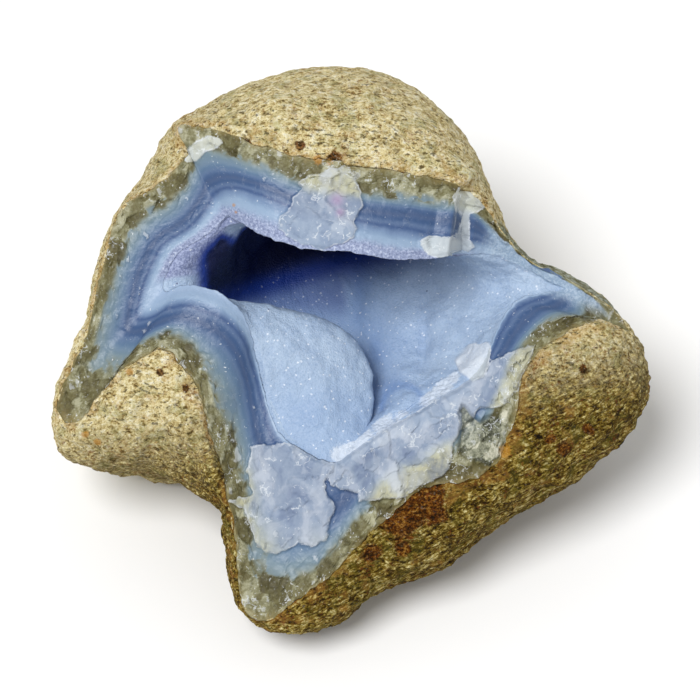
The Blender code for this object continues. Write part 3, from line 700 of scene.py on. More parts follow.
def make_piece(name, rings, finish, shades, hidden, loop=False):
    """A closed mesh through rings of points, turned to face outward by the sign of its volume.

    The columns of a ring are x, y, z in millimetres and then one for each named shade, which the
    finish reads. A loop joins its last ring to its first; otherwise both ends are single points.
    The last rings, as many as are hidden, have flat faces, so that the shading of the seen side
    doesn't bend toward them.
    """
    counts = [len(ring) for ring in rings]
    starts = np.concatenate(([0], np.cumsum(counts)))[:-1]
    order = list(range(len(rings))) + ([0] if loop else [])
    faces = np.concatenate([
        join_rings(starts[a], counts[a], starts[b], counts[b])
        for a, b in zip(order[:-1], order[1:])
    ])
    table = np.concatenate(rings)
    points = table[:, :3] * MM
    corners = points[faces]
    volume = np.einsum("ij,ij->i", corners[:, 0], np.cross(corners[:, 1], corners[:, 2])).sum()
    if volume < 0.0:
        faces = faces[:, ::-1]

    mesh = bpy.data.meshes.new(name)
    mesh.vertices.add(len(points))
    mesh.vertices.foreach_set("co", points.astype(np.float32).ravel())
    mesh.loops.add(faces.size)
    mesh.loops.foreach_set("vertex_index", faces.astype(np.int32).ravel())
    mesh.polygons.add(len(faces))
    mesh.polygons.foreach_set("loop_start", np.arange(0, faces.size, 3, dtype=np.int32))
    mesh.polygons.foreach_set("use_smooth", faces.max(axis=1) < starts[-hidden])
    mesh.update(calc_edges=True)
    for column, shade in enumerate(shades):
        values = mesh.attributes.new(shade, "FLOAT", "POINT")
        values.data.foreach_set("value", table[:, 3 + column].astype(np.float32))
    mesh.materials.append(finish)
    made = bpy.data.objects.new(name, mesh)
    bpy.context.scene.collection.objects.link(made)
    return made


def with_shades(rows, *shades):
    """A grid of points with a column for each shade after x, y and z."""
    return np.concatenate([rows] + [shade[..., None] for shade in shades], axis=-1)


def with_blank_shades(rows, count):
    """Points with a number of empty shades, for the hidden sides."""
    return with_shades(rows, *(np.zeros(rows.shape[:-1]),) * count)


def back_marks(front_count, back_count):
    """Marks of a hidden side's rings, evenly spread between the first and last seen ring."""
    return np.linspace(0.0, front_count - 1.0, back_count + 2)[1:-1]


def pits_of(points, cell, seed, growth, least):
    """Round pits, 1 in the middle and 0 outside, at the grains whose own value is over the least.

    A pit's radius in millimetres is 0.2 plus the growth times that value.
    """
    apart, own, _ = nearest_grain(points, cell, seed)
    return smooth(1.0 - apart / (0.2 + growth * own)) * (own > least)


def brown_and_painted_shading(view_places, back_count):
    """How brown the rind is, with painted shade, from 0 on the pale top to 1 below.

    Brown rises down the view and toward the right, partly the rind's own colour and partly painted
    shade. The upper left is browner than that and the lower left is paler. The back takes the
    values of the first ring that the view shows.
    """
    right, up = view_places[..., 0], view_places[..., 1]
    upper_left = smooth((-10.0 - right) / 15.0) * smooth(up / 15.0)
    lower_left = smooth((-20.0 - right) / 8.0) * smooth(-up / 10.0)
    brown = smooth((0.15 * right - up + 8.0) / 32.0)
    brown = np.clip(brown + 0.3 * upper_left - 0.14 * lower_left, 0.0, 1.0)
    brown[:back_count] = brown[back_count]
    return brown


def build_rind(rings, finish):
    """The rind: flat spot, hidden back and the rough skin up to its broken edge.

    Base: cubic curves from the flat spot to the outline and on to the rind edge. Each point is
    then pushed along the surface normal by the sum of lumps, grain and sand, less the pits, and
    near the edge it follows the edge's ragged shift. The inner side is the same surface without
    that relief, coarser, set back by the rind's thickness or by half the way to the edge.
    """
    outline, rind_edge = rings["outline"], rings["rind_edge"]
    rest = finer_round(rest_ring(rings["solid_outline"])[None], FINER)[0]
    top = place(outline)
    flat_way = np.array((1.0, 1.0, 0.0))
    level = rest + BACK_LEVEL * (top - rest) * flat_way
    below = top - TO_VIEWER * (BACK_BELOW * top[:, 2:3] / TO_VIEWER[2])
    back = curve_rows((rest, level, below, top), np.linspace(0.0, 1.0, BACK_RINGS + 1)[:-1])

    width = np.linalg.norm((outline - rind_edge)[:, :2], axis=1)[:, None]
    rise = (rind_edge - outline)[:, 2:3]
    toward = np.array((0.0, 0.0, 1.0))
    leaving = outline + toward * (LEAVING_RISE * rise + LEAVING_WIDTH * width)
    arriving = rind_edge + ARRIVING_BACK * (outline - rind_edge) * flat_way
    arriving = arriving + toward * ARRIVING_WIDTH * width
    front_view = curve_rows((outline, leaving, arriving, rind_edge),
                            np.linspace(0.0, 1.0, RIND_RINGS + 1))
    base = np.concatenate((back, place(front_view)))

    mark = np.concatenate((
        np.linspace(0.0, BACK_SPAN, BACK_RINGS + 1)[:-1],
        BACK_SPAN + np.linspace(0.0, RIND_SPAN, RIND_RINGS + 1),
    ))[:, None]
    coarse = smooth(mark / 2.5) * (1.0 - 0.75 * np.exp(-((mark - BACK_SPAN) / 1.2) ** 2))
    near_edge = smooth((mark - BACK_SPAN + 1.0) / RIND_SPAN)
    coarse = coarse * (1.0 - near_edge * (1.0 - smooth(width.T / 14.0)))
    coarse = coarse * smooth(BACK_SPAN + RIND_SPAN - mark)
    step = np.linalg.norm(np.diff(base, axis=0), axis=-1)
    to_edge = np.concatenate((np.cumsum(step[::-1], axis=0)[::-1], np.zeros((1, ROUND_FINE))))
    fine = smooth(mark / 0.7) * smooth(to_edge / 0.9)

    relief = layered_noise(base, RIND_LUMPS) * coarse + layered_noise(base, RIND_GRAIN) * coarse
    dome = smooth((base[..., 1] - 4.0) / 14.0)
    rough = 1.35 - 0.6 * dome
    drawn = base * np.array((0.7, 1.0, 1.0))
    sand = layered_noise(base, RIND_SAND) + layered_noise(drawn, *RIND_DRAWN_SAND)
    pits = pits_of(base, *PITS)
    small_pits = pits_of(base * np.array((0.6, 1.0, 1.0)), *SMALL_PITS)
    relief += fine * (rough * sand - 0.6 * pits * (0.4 + 0.6 * dome) - 0.3 * small_pits)
    rows = base + surface_normals(base) * relief[..., None]
    shift = place(rind_edge + rings["rind_shift"]) - place(rind_edge)
    rows += (1.0 - smooth(to_edge / 1.8))[..., None] * shift
    rows[..., 2] = np.maximum(rows[..., 2], 0.0)

    view_places = np.concatenate((np.full(back.shape, OUT_OF_VIEW), front_view))
    shades = {
        # The rind's own brown and painted shade, both darker down the view and to the right
        "brown": brown_and_painted_shading(view_places, BACK_RINGS),
        "pits": np.clip(pits + 0.8 * small_pits, 0.0, 1.0) * fine,
        "rust": stain(view_places, RUST_STAINS),
        "orange": stain(view_places, ORANGE_STAINS),
        "edge_zone": 1.0 - smooth(to_edge / 5.0),
        "glassy": rings["cover"] * (1.0 - smooth((to_edge - 4.0) / 2.5)),
    }
    table = with_shades(rows, *shades.values())

    marks = back_marks(len(base), RIND_BACK_RINGS)
    inner, normal, depth = (
        at_marks(values, marks)[:, ::FINER]
        for values in (base, surface_normals(base), to_edge[..., None])
    )
    inner = inner - normal * np.minimum(RIND_THICKNESS, 0.5 * depth)
    inner[..., 2] = np.maximum(inner[..., 2], RIND_THICKNESS * 0.6)
    inner = with_blank_shades(inner, len(shades))

    flat = with_blank_shades(0.5 * rows[0, ::FINER], len(shades))
    flat_middle = np.zeros((1, 3 + len(shades)))
    inner_middle = inner[0].mean(axis=0)[None]
    surface = [flat_middle, flat]
    surface += [ring[::2] for ring in table[:BACK_RINGS]] + list(table[BACK_RINGS:])
    surface += list(inner[::-1]) + [inner_middle]
    return make_piece("rind", surface, finish, shades, hidden=len(inner) + 1)


def build_wall(rings, finish):
    """The broken face of banded agate between the rind's edge and the mouth of the hollow.

    Base: straight lines from rind edge to mouth, whose ends follow the ragged shifts of both
    rings. The relief toward the viewer is the sum of waves, the steps of the scars, and facets,
    chips and roughness, which are strongest in the olive zone, with raised flakes over them. It
    fades out at both edges. The hidden side is the same face, coarser, set back by the wall's
    thickness or by about a third of the way to the nearer edge.
    """
    rind_edge, mouth, shares = rings["rind_edge"], rings["mouth"], rings["bands"]
    t = np.linspace(0.0, 1.0, WALL_RINGS)[:, None]
    rows = rind_edge + t[..., None] * (mouth - rind_edge)
    first, second, third = np.clip(shares, 0.05, 0.97).T
    stops = (0.0, first, second, third, 1.0)
    band = sum(np.clip((t - low) / (high - low), 0.0, 1.0)
               for low, high in itertools.pairwise(stops))

    width = np.linalg.norm(mouth - rind_edge, axis=-1)
    from_edge = np.minimum(t, 1.0 - t) * width
    rows += (1.0 - smooth(t * width / 1.8))[..., None] * rings["rind_shift"]
    rows += (1.0 - smooth((1.0 - t) * width / 1.8))[..., None] * rings["mouth_shift"]
    inner = smooth(6.0 * t) * smooth(6.0 * (1.0 - t))
    relief = layered_noise(rows, FACE_WAVES) * inner

    wander = layered_noise(rows, *SCAR_WANDERING)
    scarred = np.full(rows.shape[:2], FAR_FROM_SCARS)
    bright = np.zeros(rows.shape[:2])
    for name, (height, outline) in SCARS.items():
        wandering = BRIGHT_WANDER if name in BRIGHT_SCARS else SCAR_WANDER
        distance = inside_distance(rows[..., :2], from_pixels(outline)) + wandering * wander
        relief += height * smooth(0.5 + distance / SCAR_EDGE) * smooth(from_edge)
        scarred = np.maximum(scarred, distance)
        if name in BRIGHT_SCARS:
            bright = np.maximum(bright, smooth(0.5 + distance / 0.5))
    height, outline = DULL_SCAR
    dull = inside_distance(rows[..., :2], from_pixels(outline)) + wander
    relief += height * smooth(0.5 + dull / 1.2) * smooth(from_edge / 1.5)

    warp = drift(rows, 0.8, 3.0, (44, 45, 46)) + drift(rows, 0.25, 0.8, (54, 55, 56))
    _, facet, slant = nearest_grain(rows + warp, *FACETS)
    drawn = rows * np.array((1.0, 0.7, 1.0)) + 0.5 * warp
    apart, chip, chip_slant = nearest_grain(drawn, *CHIPS)
    for own, jump, reach in ((facet, 0.4, 0.45), (chip, 0.35, 0.4)):
        band = band + (own - 0.5) * jump * np.exp(-((band - OLIVE_END) / reach) ** 2)
    olive = 1.0 - smooth(band - 0.6)
    on_scar = smooth(scarred / 0.4)
    forms = (slant, chip_slant, facet - 0.5, layered_noise(rows, FACE_ROUGHNESS))
    relief += smooth(from_edge / FACE_FADE) * sum(
        form * (plain + in_olive * olive + on_scars * on_scar)
        for form, (plain, in_olive, on_scars) in zip(forms, FACE_RELIEF.values())
    )
    flakes = (chip > 0.92 - 0.16 * olive) & (apart + 0.5 * lattice_noise(rows, 0.7, 51) < 0.4)
    flakes = flakes * smooth(0.5 + 1.2 * lattice_noise(rows, 5.0, 50) + 0.25 * olive)
    relief += FLAKE_HEIGHT * flakes * smooth(from_edge / FACE_FADE)
    rows[..., 2] += relief

    shades = {
        "band": band,
        "facet": 0.6 * facet + 0.4 * chip,
        "scar": scarred,
        "bright": bright,
        "dull": dull,
        "flake": flakes,
        "orange": stain(rows, ORANGE_STAINS),
        "pink": stain(rows, PINK_STAINS),
        "lip": np.broadcast_to(rings["lip"], band.shape),
        "cover": rings["cover"] * smooth((t - 0.12) / 0.15),
    }
    table = with_shades(place(rows), *shades.values())
    marks = back_marks(WALL_RINGS, WALL_BACK_RINGS)
    hidden = at_marks(table, marks)[:, ::FINER].copy()
    depth = at_marks(from_edge[..., None], marks)[:, ::FINER]
    hidden[..., :3] -= TO_VIEWER * np.minimum(WALL_THICKNESS, 0.35 * depth)
    return make_piece("banded_wall", list(table) + list(hidden[::-1]), finish, shades,
                      hidden=len(hidden), loop=True)


def view_pixels(view_places):
    """Pixels of the front view, counted from its left and from its top."""
    half = VIEW_PIXELS / 2
    return view_places[..., 0] / PIXEL + half, half - view_places[..., 1] / PIXEL


def painted_deepness(mark, across, down):
    """Painted shade on the druse, from 0 to 1, that makes it darker and bluer far inside the
    hollow.

    It rises along the paths from the brink to the floor, less at the right, and down the view.
    """
    deep = smooth((mark - 1.8) / 1.2)[:, None]
    deep = deep * (1.0 - 0.75 * smooth((across - 350.0) / 90.0))
    return np.maximum(deep, 0.55 * smooth((down - 355.0) / 60.0))


def painted_cave_shading(across, down, toward):
    """Painted shade in the cave behind the lip, from 0 to 1: the largest of three painted
    darknesses.

    The painted cave shade lies above a slanting edge, to the right of the left wall and behind it.
    The painted shade under the lip and the painted half-dark at the left of the far wall are
    weaker.
    Each is a product of smooth rises upward, toward the left and away from the viewer.
    """
    slanting_edge = 345.0 - 0.3 * (across - 240.0)
    left_wall = smooth((240.0 - across) / 20.0)
    cave = smooth((slanting_edge - down) / 80.0) * smooth((across - 184.0) / 30.0)
    cave *= smooth((3.0 + 2.0 * left_wall - toward) / (7.0 - 4.0 * left_wall))
    under_lip = smooth((306.0 - down) / 50.0) * smooth((410.0 - across) / 80.0)
    half_dark = smooth((356.0 - across) / 16.0) * smooth((334.0 - down) / 36.0)
    cave = np.maximum(cave, 0.45 * under_lip * smooth((3.0 - toward) / 7.0))
    return np.maximum(cave, 0.41 * half_dark * smooth(-toward / 3.0))


def painted_crease_shading(across, down, deep):
    """Painted shade in creases: a bell for each of the far wall's, and a ring round the small lobe.
    """
    wall = deep * sum(
        np.exp(-((across - x) / width) ** 2 - ((down - y) / height) ** 2)
        for x, y, width, height in PAINTED_CREASE_SHADES
    )
    x, y, radius, width, end = LOBE_CREASE_SHADE
    from_ring = np.hypot(across - x, down - y) - radius
    return wall + np.exp(-(from_ring / width) ** 2) * smooth((end - down) / 10.0)


def build_druse(rings, finish):
    """The skin of fine crystals from the mouth over the bulb and down to the hollow's floor.

    Base: the solid's own paths, made closer with cubic curves round each ring, and drawn to the
    fine mouth over the first millimetres. Each point is pushed out by rounded swellings, crystal
    points and the round chip. The inner side is coarser and set back by the skin's thickness.
    """
    paths = hollow_paths(*rings["solid_hollow"])
    inward = into_stone(paths)
    marks = np.concatenate([
        np.linspace(start, end, count, endpoint=False) for start, end, count in DRUSE_MARKS
    ] + [np.array((4.0 - 1.0 / PATH_POINTS,))]) * PATH_POINTS
    fine = at_marks(finer_round(paths, FINER), marks)
    push = at_marks(finer_round(inward, FINER), marks)
    step = np.linalg.norm(np.diff(fine, axis=0), axis=-1)
    along = np.concatenate((np.zeros((1, ROUND_FINE)), np.cumsum(step, axis=0)))
    mouth = rings["mouth"] + rings["mouth_shift"]
    fine = fine + (1.0 - smooth(along / 2.5))[..., None] * (mouth - fine[0])

    fade = smooth(along / 0.8)
    apart, own, _ = nearest_grain(fine, *CRYSTALS)
    crystals = (0.5 - apart / CRYSTALS[0]) * (0.4 + own)
    swelling = layered_noise(fine, *DRUSE_SWELLINGS)
    fringe = stain(fine, FRINGE)
    fringe *= 1.0 - smooth((along - 3.5) / 2.5)
    chip = inside_distance(fine[..., :2], from_pixels(SCARS["round chip"][1]))
    chip = smooth(0.5 + (chip + 0.3 * lattice_noise(fine, 1.2, 64)) / 0.4)
    chip *= 1.0 - smooth((along - 6.0) / 2.0)
    relief = fade * (swelling + (0.10 + 0.5 * fringe) * crystals + 0.5 * chip)
    rows = fine - push * relief[..., None]

    across, down = view_pixels(fine)
    deep = painted_deepness(marks / PATH_POINTS, across, down)
    rim_reach = 4.5 + 6.0 * smooth((225.0 - across) / 30.0)
    shades = {
        # deep, cave and crease are painted shade: bluer far inside, nearly black in the cave,
        # darker in creases
        "deep": deep,
        "cave": painted_cave_shading(across, down, fine[..., 2]),
        "fringe": fringe,
        "rim": rings["lip"] * (1.0 - smooth(along / rim_reach)),
        "crease": painted_crease_shading(across, down, deep),
        "chip": chip,
    }
    table = with_shades(place(rows), *shades.values())
    behind = at_marks(paths + inward * DRUSE_THICKNESS, DRUSE_BACK_MARKS)
    behind[0] = paths[3] + inward[3] * DRUSE_EDGE_THICKNESS
    behind = with_blank_shades(place(behind), len(shades))
    floor = table[-1].mean(axis=0)[None]
    floor_behind = behind[-1].mean(axis=0)[None]
    return make_piece("druse", [floor] + list(table[::-1]) + list(behind) + [floor_behind],
                      finish, shades, hidden=len(behind) + 1)


class Socket:
    """A value in a finish's node tree, so that its sums can be written as expressions."""

    def __init__(self, finish, output):
        self.finish = finish
        self.output = output

    def __add__(self, other):
        return self.finish.sum("ADD", self, other)

    __radd__ = __add__

    def __mul__(self, other):
        return self.finish.sum("MULTIPLY", self, other)

    __rmul__ = __mul__

    def __sub__(self, other):
        return self.finish.sum("SUBTRACT", self, other)

    def __rsub__(self, other):
        return self.finish.sum("SUBTRACT", other, self)

    def __truediv__(self, other):
        return self.finish.sum("DIVIDE", self, other)

    def most(self, other):
        return self.finish.sum("MAXIMUM", self, other)

    def least(self, other):
        return self.finish.sum("MINIMUM", self, other)


class Finish:
    """A material made of nodes round one shader."""

    def __init__(self, name, **constants):
        self.material = bpy.data.materials.new(name)
        self.material.use_nodes = True
        self.tree = self.material.node_tree
        self.shader = self.tree.nodes["Principled BSDF"]
        self.place = None
        self.colour = None
        for socket, value in constants.items():
            self.shader.inputs[socket.replace("_", " ")].default_value = value

    def node(self, kind, settings=None, sockets=None, output=0):
        """Any node: its settings are made first, then its sockets are given values or links."""
        node = self.tree.nodes.new("ShaderNode" + kind)
        for name, value in (settings or {}).items():
            if name == "stops":
                set_stops(node.color_ramp, value)
            else:
                setattr(node, name, value)
        for socket, value in (sockets or {}).items():
            self.feed(node.inputs[socket], value)
        return Socket(self, node.outputs[output])

    def feed(self, target, value):
        """Give a socket a link, a number or a colour."""
        if isinstance(value, Socket):
            self.tree.links.new(value.output, target)
        elif isinstance(value, tuple) and len(value) == 3 and target.type == "RGBA":
            target.default_value = (*value, 1.0)
        else:
            target.default_value = value

    def sum(self, operation, first, second):
        """A Math node on two values."""
        return self.node("Math", {"operation": operation}, {0: first, 1: second})

    def shade(self, name):
        """A named shade of the mesh."""
        return self.node("Attribute", {"attribute_name": name}, output=2)

    def position(self, stretch=(1.0, 1.0, 1.0), shift=0.0, turn=None):
        """Place on the object in millimetres, turned first and then stretched along its axes."""
        spot = self.node("TexCoord", output=3)
        if turn is not None:
            spot = self.node("Mapping", None, {0: spot, 2: turn})
        scale = tuple(1000.0 * value for value in stretch)
        return self.node("Mapping", None, {0: spot, 1: (shift, shift, shift), 3: scale})

    def bent(self, spot, cell, amount):
        """A position moved about by noise, up to half the amount in each direction."""
        drift = self.node("TexNoise", None, {"Vector": spot, "Scale": 1.0 / cell}, 1)
        drift = self.node("VectorMath", {"operation": "SCALE"}, {0: drift, "Scale": amount})
        return self.node("VectorMath", {"operation": "ADD"}, {0: spot, 1: drift})

    def noise(self, cell, detail=2.0, roughness=0.5, spot=None, warp=0.0):
        """Soft noise from 0 to 1 with cells of the given size in millimetres."""
        return self.node("TexNoise", None, {
            "Vector": spot or self.spot(), "Scale": 1.0 / cell, "Detail": detail,
            "Roughness": roughness, "Distortion": warp,
        })

    def grains(self, cell, feature="F1", spot=None, output=0):
        """Distance to strewn grains, or with output 1 a random colour for each."""
        return self.node("TexVoronoi", {"feature": feature}, {
            "Vector": spot or self.spot(), "Scale": 1.0 / cell,
        }, output)

    def spot(self):
        """The plain position, made once."""
        if self.place is None:
            self.place = self.position()
        return self.place

    def rise(self, value, low, high):
        """A smooth rise from 0 at low to 1 at high, or a fall where low is above high."""
        return self.node("MapRange", {"interpolation_type": "SMOOTHSTEP"}, {
            "Value": value, "From Min": low, "From Max": high,
        })

    def blend(self, share, first, second):
        """The second colour over the first, by its share. Three numbers are a screen colour."""
        first, second = (
            tint(*colour) if isinstance(colour, tuple) else colour for colour in (first, second)
        )
        return self.node("Mix", {"data_type": "RGBA"}, {0: share, 6: first, 7: second}, 2)

    def coat(self, share, colour):
        """Lay a colour over the finish so far, by its share."""
        self.colour = self.blend(share, self.colour, colour)

    def ramp(self, value, stops):
        """Colours along a value: each stop is a place and a screen colour."""
        stops = [(where, tint(*colour)) for where, *colour in stops]
        return self.node("ValToRGB", {"stops": stops}, {"Fac": value})

    def random(self, colour):
        """A number from a random colour."""
        return self.node("SeparateColor", None, {0: colour})

    def bump(self, height, depth, strength=1.0, under=None):
        """A bump of the given depth in millimetres, over another bump if there is one."""
        sockets = {"Height": height, "Distance": depth * MM, "Strength": strength}
        if under is not None:
            sockets["Normal"] = under
        return self.node("Bump", None, sockets)

    def out(self, **sockets):
        """Feed the shader, and give the finished material."""
        for name, value in sockets.items():
            self.feed(self.shader.inputs[name.replace("_", " ")], value)
        return self.material


def set_stops(ramp, stops):
    """Set a ramp's stops, given as places and colours."""
    while len(ramp.elements) < len(stops):
        ramp.elements.new(1.0)
    for element, (where, colour) in zip(ramp.elements, stops):
        element.position = where
        element.color = (*colour, 1.0)


def tint(red, green, blue):
    """A colour as it is seen on a screen, from 0 to 255, turned into light."""
    return tuple(
        value / 255.0 / 12.92 if value <= 10 else ((value / 255.0 + 0.055) / 1.055) ** 2.4
        for value in (red, green, blue)
    )


def rind_finish():
    """Olive-tan rind: sandy grain drawn out sideways, dark pits, slanting streaks and rust.

    A pale ramp and a darker brown one are read by noises and blended by the brown shade, which is
    partly the rind's own brown and partly painted shade down the view. Stains, flecks and pits
    lie over them, and a glassy grey lies over the edge at the right shoulder.
    """
    f = Finish("rind", Roughness=0.9, Specular_IOR_Level=0.12)
    brown, pits = f.shade("brown"), f.shade("pits")
    drawn = f.position((0.75, 1.0, 0.9))
    patchy = f.noise(2.6, 5.0, 0.7)
    fine = f.noise(0.85, 4.0, 0.72, spot=drawn)
    grit = f.noise(0.36, 3.0, 0.7, spot=drawn)
    streak = f.noise(0.50, 4.0, 0.72, spot=f.position((0.26, 1.0, 1.0), 7.0, (0.0, 0.25, -0.42)))
    mixed = patchy * 0.24 + fine * 0.46 + grit * 0.30
    top = f.ramp(mixed, (
        (0.39, 96, 74, 34), (0.44, 176, 152, 96), (0.49, 223, 206, 150),
        (0.54, 243, 231, 186), (0.61, 255, 251, 230),
    ))
    mixed_low = patchy * 0.20 + fine * 0.22 + grit * 0.18 + streak * 0.40
    low = f.ramp(mixed_low, (
        (0.41, 10, 4, 0), (0.455, 54, 36, 2), (0.50, 108, 85, 20),
        (0.545, 170, 149, 76), (0.60, 238, 226, 168),
    ))
    # Pale top to dark low ramp by the brown shade: the rind's own brown and painted shade below
    f.colour = f.blend(f.rise(brown + 0.5 * (patchy - 0.5), 0.1, 0.95), top, low)
    green = f.rise(f.noise(4.0, 4.0, 0.6), 0.5, 0.64)
    f.coat(green * 0.4, f.blend(brown, (160, 162, 110), (96, 92, 30)))
    warm = f.rise(f.noise(3.3, 4.0, 0.6, spot=f.position(shift=31.0))
                  + 0.16 * f.shade("edge_zone"), 0.55, 0.72)
    f.coat(warm * 0.35, (176, 126, 62))
    rusty = f.rise(f.shade("rust") + 1.3 * (f.noise(1.1, 5.0, 0.75) - 0.5), 0.34, 0.6)
    f.coat(rusty * 0.92, f.ramp(fine * 0.5 + grit * 0.5, (
        (0.42, 24, 10, 0), (0.49, 76, 34, 0), (0.54, 112, 62, 6),
        (0.62, 168, 124, 50),
    )))
    orange = f.rise(f.shade("orange") + 0.8 * (fine - 0.5), 0.45, 0.8)
    f.coat(orange * 0.7, (190, 132, 44))
    red = f.rise(f.noise(0.6, 3.0, 0.6, spot=f.position(shift=53.0)) * 0.7
                 + f.noise(3.0, 2.0, spot=f.position(shift=17.0)) * 0.3, 0.58, 0.62)
    f.coat(red * 0.5, (124, 66, 30))
    bright = f.rise(f.noise(0.5, 3.0, 0.6, spot=f.position(shift=3.0)), 0.60, 0.68)
    f.coat(bright * 0.4 * (1.0 - 0.8 * brown), (246, 240, 212))
    dark = f.rise(f.noise(0.6, 4.0, 0.7, spot=f.position((0.45, 1.0, 0.8), 23.0)), 0.59, 0.66)
    f.coat(dark * 0.7, f.blend(brown, (88, 70, 34), (34, 22, 2)))
    f.coat(pits * 0.7, (60, 48, 20))
    glassy = f.rise(f.shade("glassy") + 0.6 * (patchy - 0.5), 0.4, 0.7)
    f.coat(glassy * 0.9, f.ramp(fine, (
        (0.38, 96, 96, 68), (0.50, 136, 142, 122), (0.62, 176, 184, 176),
    )))
    normal = f.bump(fine * 0.7 + grit * 0.4 - dark * 0.5, 1.1, 1.0)
    return f.out(Base_Color=f.colour, Normal=normal)


def wall_finish():
    """Banded chalcedony: olive at the rind, then light blue, dark blue and pale periwinkle.

    The band shade of the mesh is warped by noise and read on a ramp. Frosted scars, a dull scar,
    flakes, nicks and cracks lie over the bands. A strip of druse edges the lip, and pale druse
    covers the right shoulder.
    """
    f = Finish("banded_agate", Specular_IOR_Level=0.38)
    band, scar, flake = f.shade("band"), f.shade("scar"), f.shade("flake")
    facet = f.shade("facet")
    wide = f.noise(6.0, 2.0)
    small = f.noise(1.4, 4.0, 0.6)
    fine = f.noise(0.5, 4.0, 0.65)
    line = band + 0.26 * (wide - 0.5) + 0.16 * (small - 0.5)
    f.colour = f.ramp(line / 4.0, (
        (0.00, 116, 106, 62), (0.12, 110, 108, 74), (0.20, 116, 122, 104),
        (0.26, 122, 134, 132), (0.33, 110, 130, 142), (0.42, 92, 117, 143),
        (0.50, 72, 97, 134), (0.57, 50, 74, 114), (0.63, 58, 84, 124),
        (0.67, 74, 98, 136), (0.71, 60, 84, 126), (0.77, 106, 130, 164),
        (0.82, 138, 161, 188), (0.90, 143, 165, 192), (1.00, 148, 169, 197),
    ))
    lace = f.node("Math", {"operation": "SINE"}, {0: line * 17.0}) * 0.5 + 0.5
    f.coat(lace * 0.05 * f.rise(line, 0.9, 1.4), (190, 202, 220))
    olive = f.rise(line, 1.15, 0.75)
    hackly = facet * 0.5 + small * 0.3 + fine * 0.4 - 0.1
    mottle = f.ramp(hackly, (
        (0.24, 62, 54, 22), (0.36, 84, 77, 42), (0.47, 106, 100, 64),
        (0.56, 126, 123, 90), (0.68, 176, 174, 146),
    ))
    f.coat(olive * 0.85, mottle)
    skin = f.rise(band + 0.6 * (small - 0.5), 0.2, 0.0)
    f.coat(skin * 0.35, (158, 140, 88))

    frost = f.rise(scar + 0.5 * (fine - 0.5), -0.10, 0.16)
    cream = f.rise(line + 0.6 * (wide - 0.5), 2.1, 0.9)
    scar_colour = f.blend(cream, (142, 156, 176), (192, 191, 164))
    veil = f.noise(4.5, 4.0, 0.6, spot=f.position((1.0, 0.6, 1.0), 3.0), warp=0.6)
    scar_colour = f.blend(f.rise(veil, 0.50, 0.34) * 0.6, scar_colour, (110, 124, 152))
    scar_colour = f.blend(f.rise(veil, 0.48, 0.66) * 0.6, scar_colour, (182, 189, 200))
    scar_colour = f.blend(f.rise(facet, 0.55, 0.9) * 0.4, scar_colour, (196, 203, 213))
    scar_colour = f.blend(f.rise(facet, 0.35, 0.1) * 0.25, scar_colour, (104, 118, 146))
    scar_colour = f.blend(f.shade("bright") * 0.65, scar_colour, (207, 212, 208))
    f.coat(frost * (0.74 + 0.4 * (veil - 0.3)), scar_colour)
    rim = f.rise(scar + 0.7 * (fine - 0.5), -0.1, 0.06) * f.rise(scar, 0.4, 0.1)
    f.coat(rim * f.rise(small, 0.44, 0.58) * 0.6, (214, 220, 228))
    dull = f.rise(f.shade("dull") + 0.6 * (small - 0.5), 0.0, 0.5)
    f.coat(dull * 0.85, f.ramp(hackly, (
        (0.34, 56, 58, 44), (0.46, 92, 96, 80), (0.54, 150, 152, 132),
        (0.64, 204, 202, 184),
    )))
    chip = f.rise(flake + 1.2 * (fine - 0.5), 0.5, 0.8)
    f.coat(chip * 0.4, (204, 209, 214))
    sugar = f.noise(0.42, 3.0, 0.7)
    rim_druse = f.rise(band + 0.3 * (small - 0.5), 3.38, 3.7) * (1.0 - frost) * f.shade("lip")
    f.coat(rim_druse * 0.8, f.ramp(sugar, (
        (0.36, 104, 110, 146), (0.46, 134, 142, 176), (0.56, 156, 165, 196),
        (0.68, 204, 211, 230),
    )))
    crowd = f.rise(f.noise(3.6, 3.0, 0.6, spot=f.position(shift=41.0)), 0.46, 0.62)
    first = f.noise(0.34, 2.0, 0.5, spot=f.position((1.0, 0.45, 0.45), 5.0))
    second = f.noise(0.34, 2.0, 0.5, spot=f.position((0.4, 1.0, 1.0), 9.0))
    nick = f.rise(first.most(second) + 0.05 * olive, 0.70, 0.75) * (0.15 + 0.85 * crowd)
    f.coat(nick * 0.85, (226, 230, 232))
    edges = f.grains(2.3, "DISTANCE_TO_EDGE", f.bent(f.position(shift=61.0), 1.1, 2.2))
    broken = f.rise(f.noise(3.0, 3.0, 0.6, spot=f.position(shift=71.0)) + 0.08 * (crowd - 0.5),
                    0.54, 0.60)
    crack = f.rise(edges, 0.07, 0.01) * broken * (0.06 + 0.5 * frost.most(olive))
    f.coat(crack, (220, 225, 228))
    cover = f.rise(f.shade("cover") + 0.5 * (small - 0.5), 0.1, 0.9)
    f.coat(cover * 0.9, f.blend(
        f.rise(sugar, 0.42, 0.62), (146, 168, 192), (176, 194, 212)))
    orange = f.rise(f.shade("orange") + 0.9 * (fine - 0.5), 0.5, 0.85)
    f.coat(orange * 0.6, (180, 128, 50))
    f.coat(f.shade("pink") * 0.4, (176, 122, 172))

    rough = 0.36 + 0.22 * frost + 0.15 * olive
    ripple = f.bump(small, 0.22, 0.5)
    height = fine * (0.45 + 0.2 * frost + 0.6 * olive) + sugar * 1.6 * rim_druse.most(cover)
    normal = f.bump(height, 0.16, 0.8, ripple)
    return f.out(Base_Color=f.colour, Roughness=rough, Normal=normal)


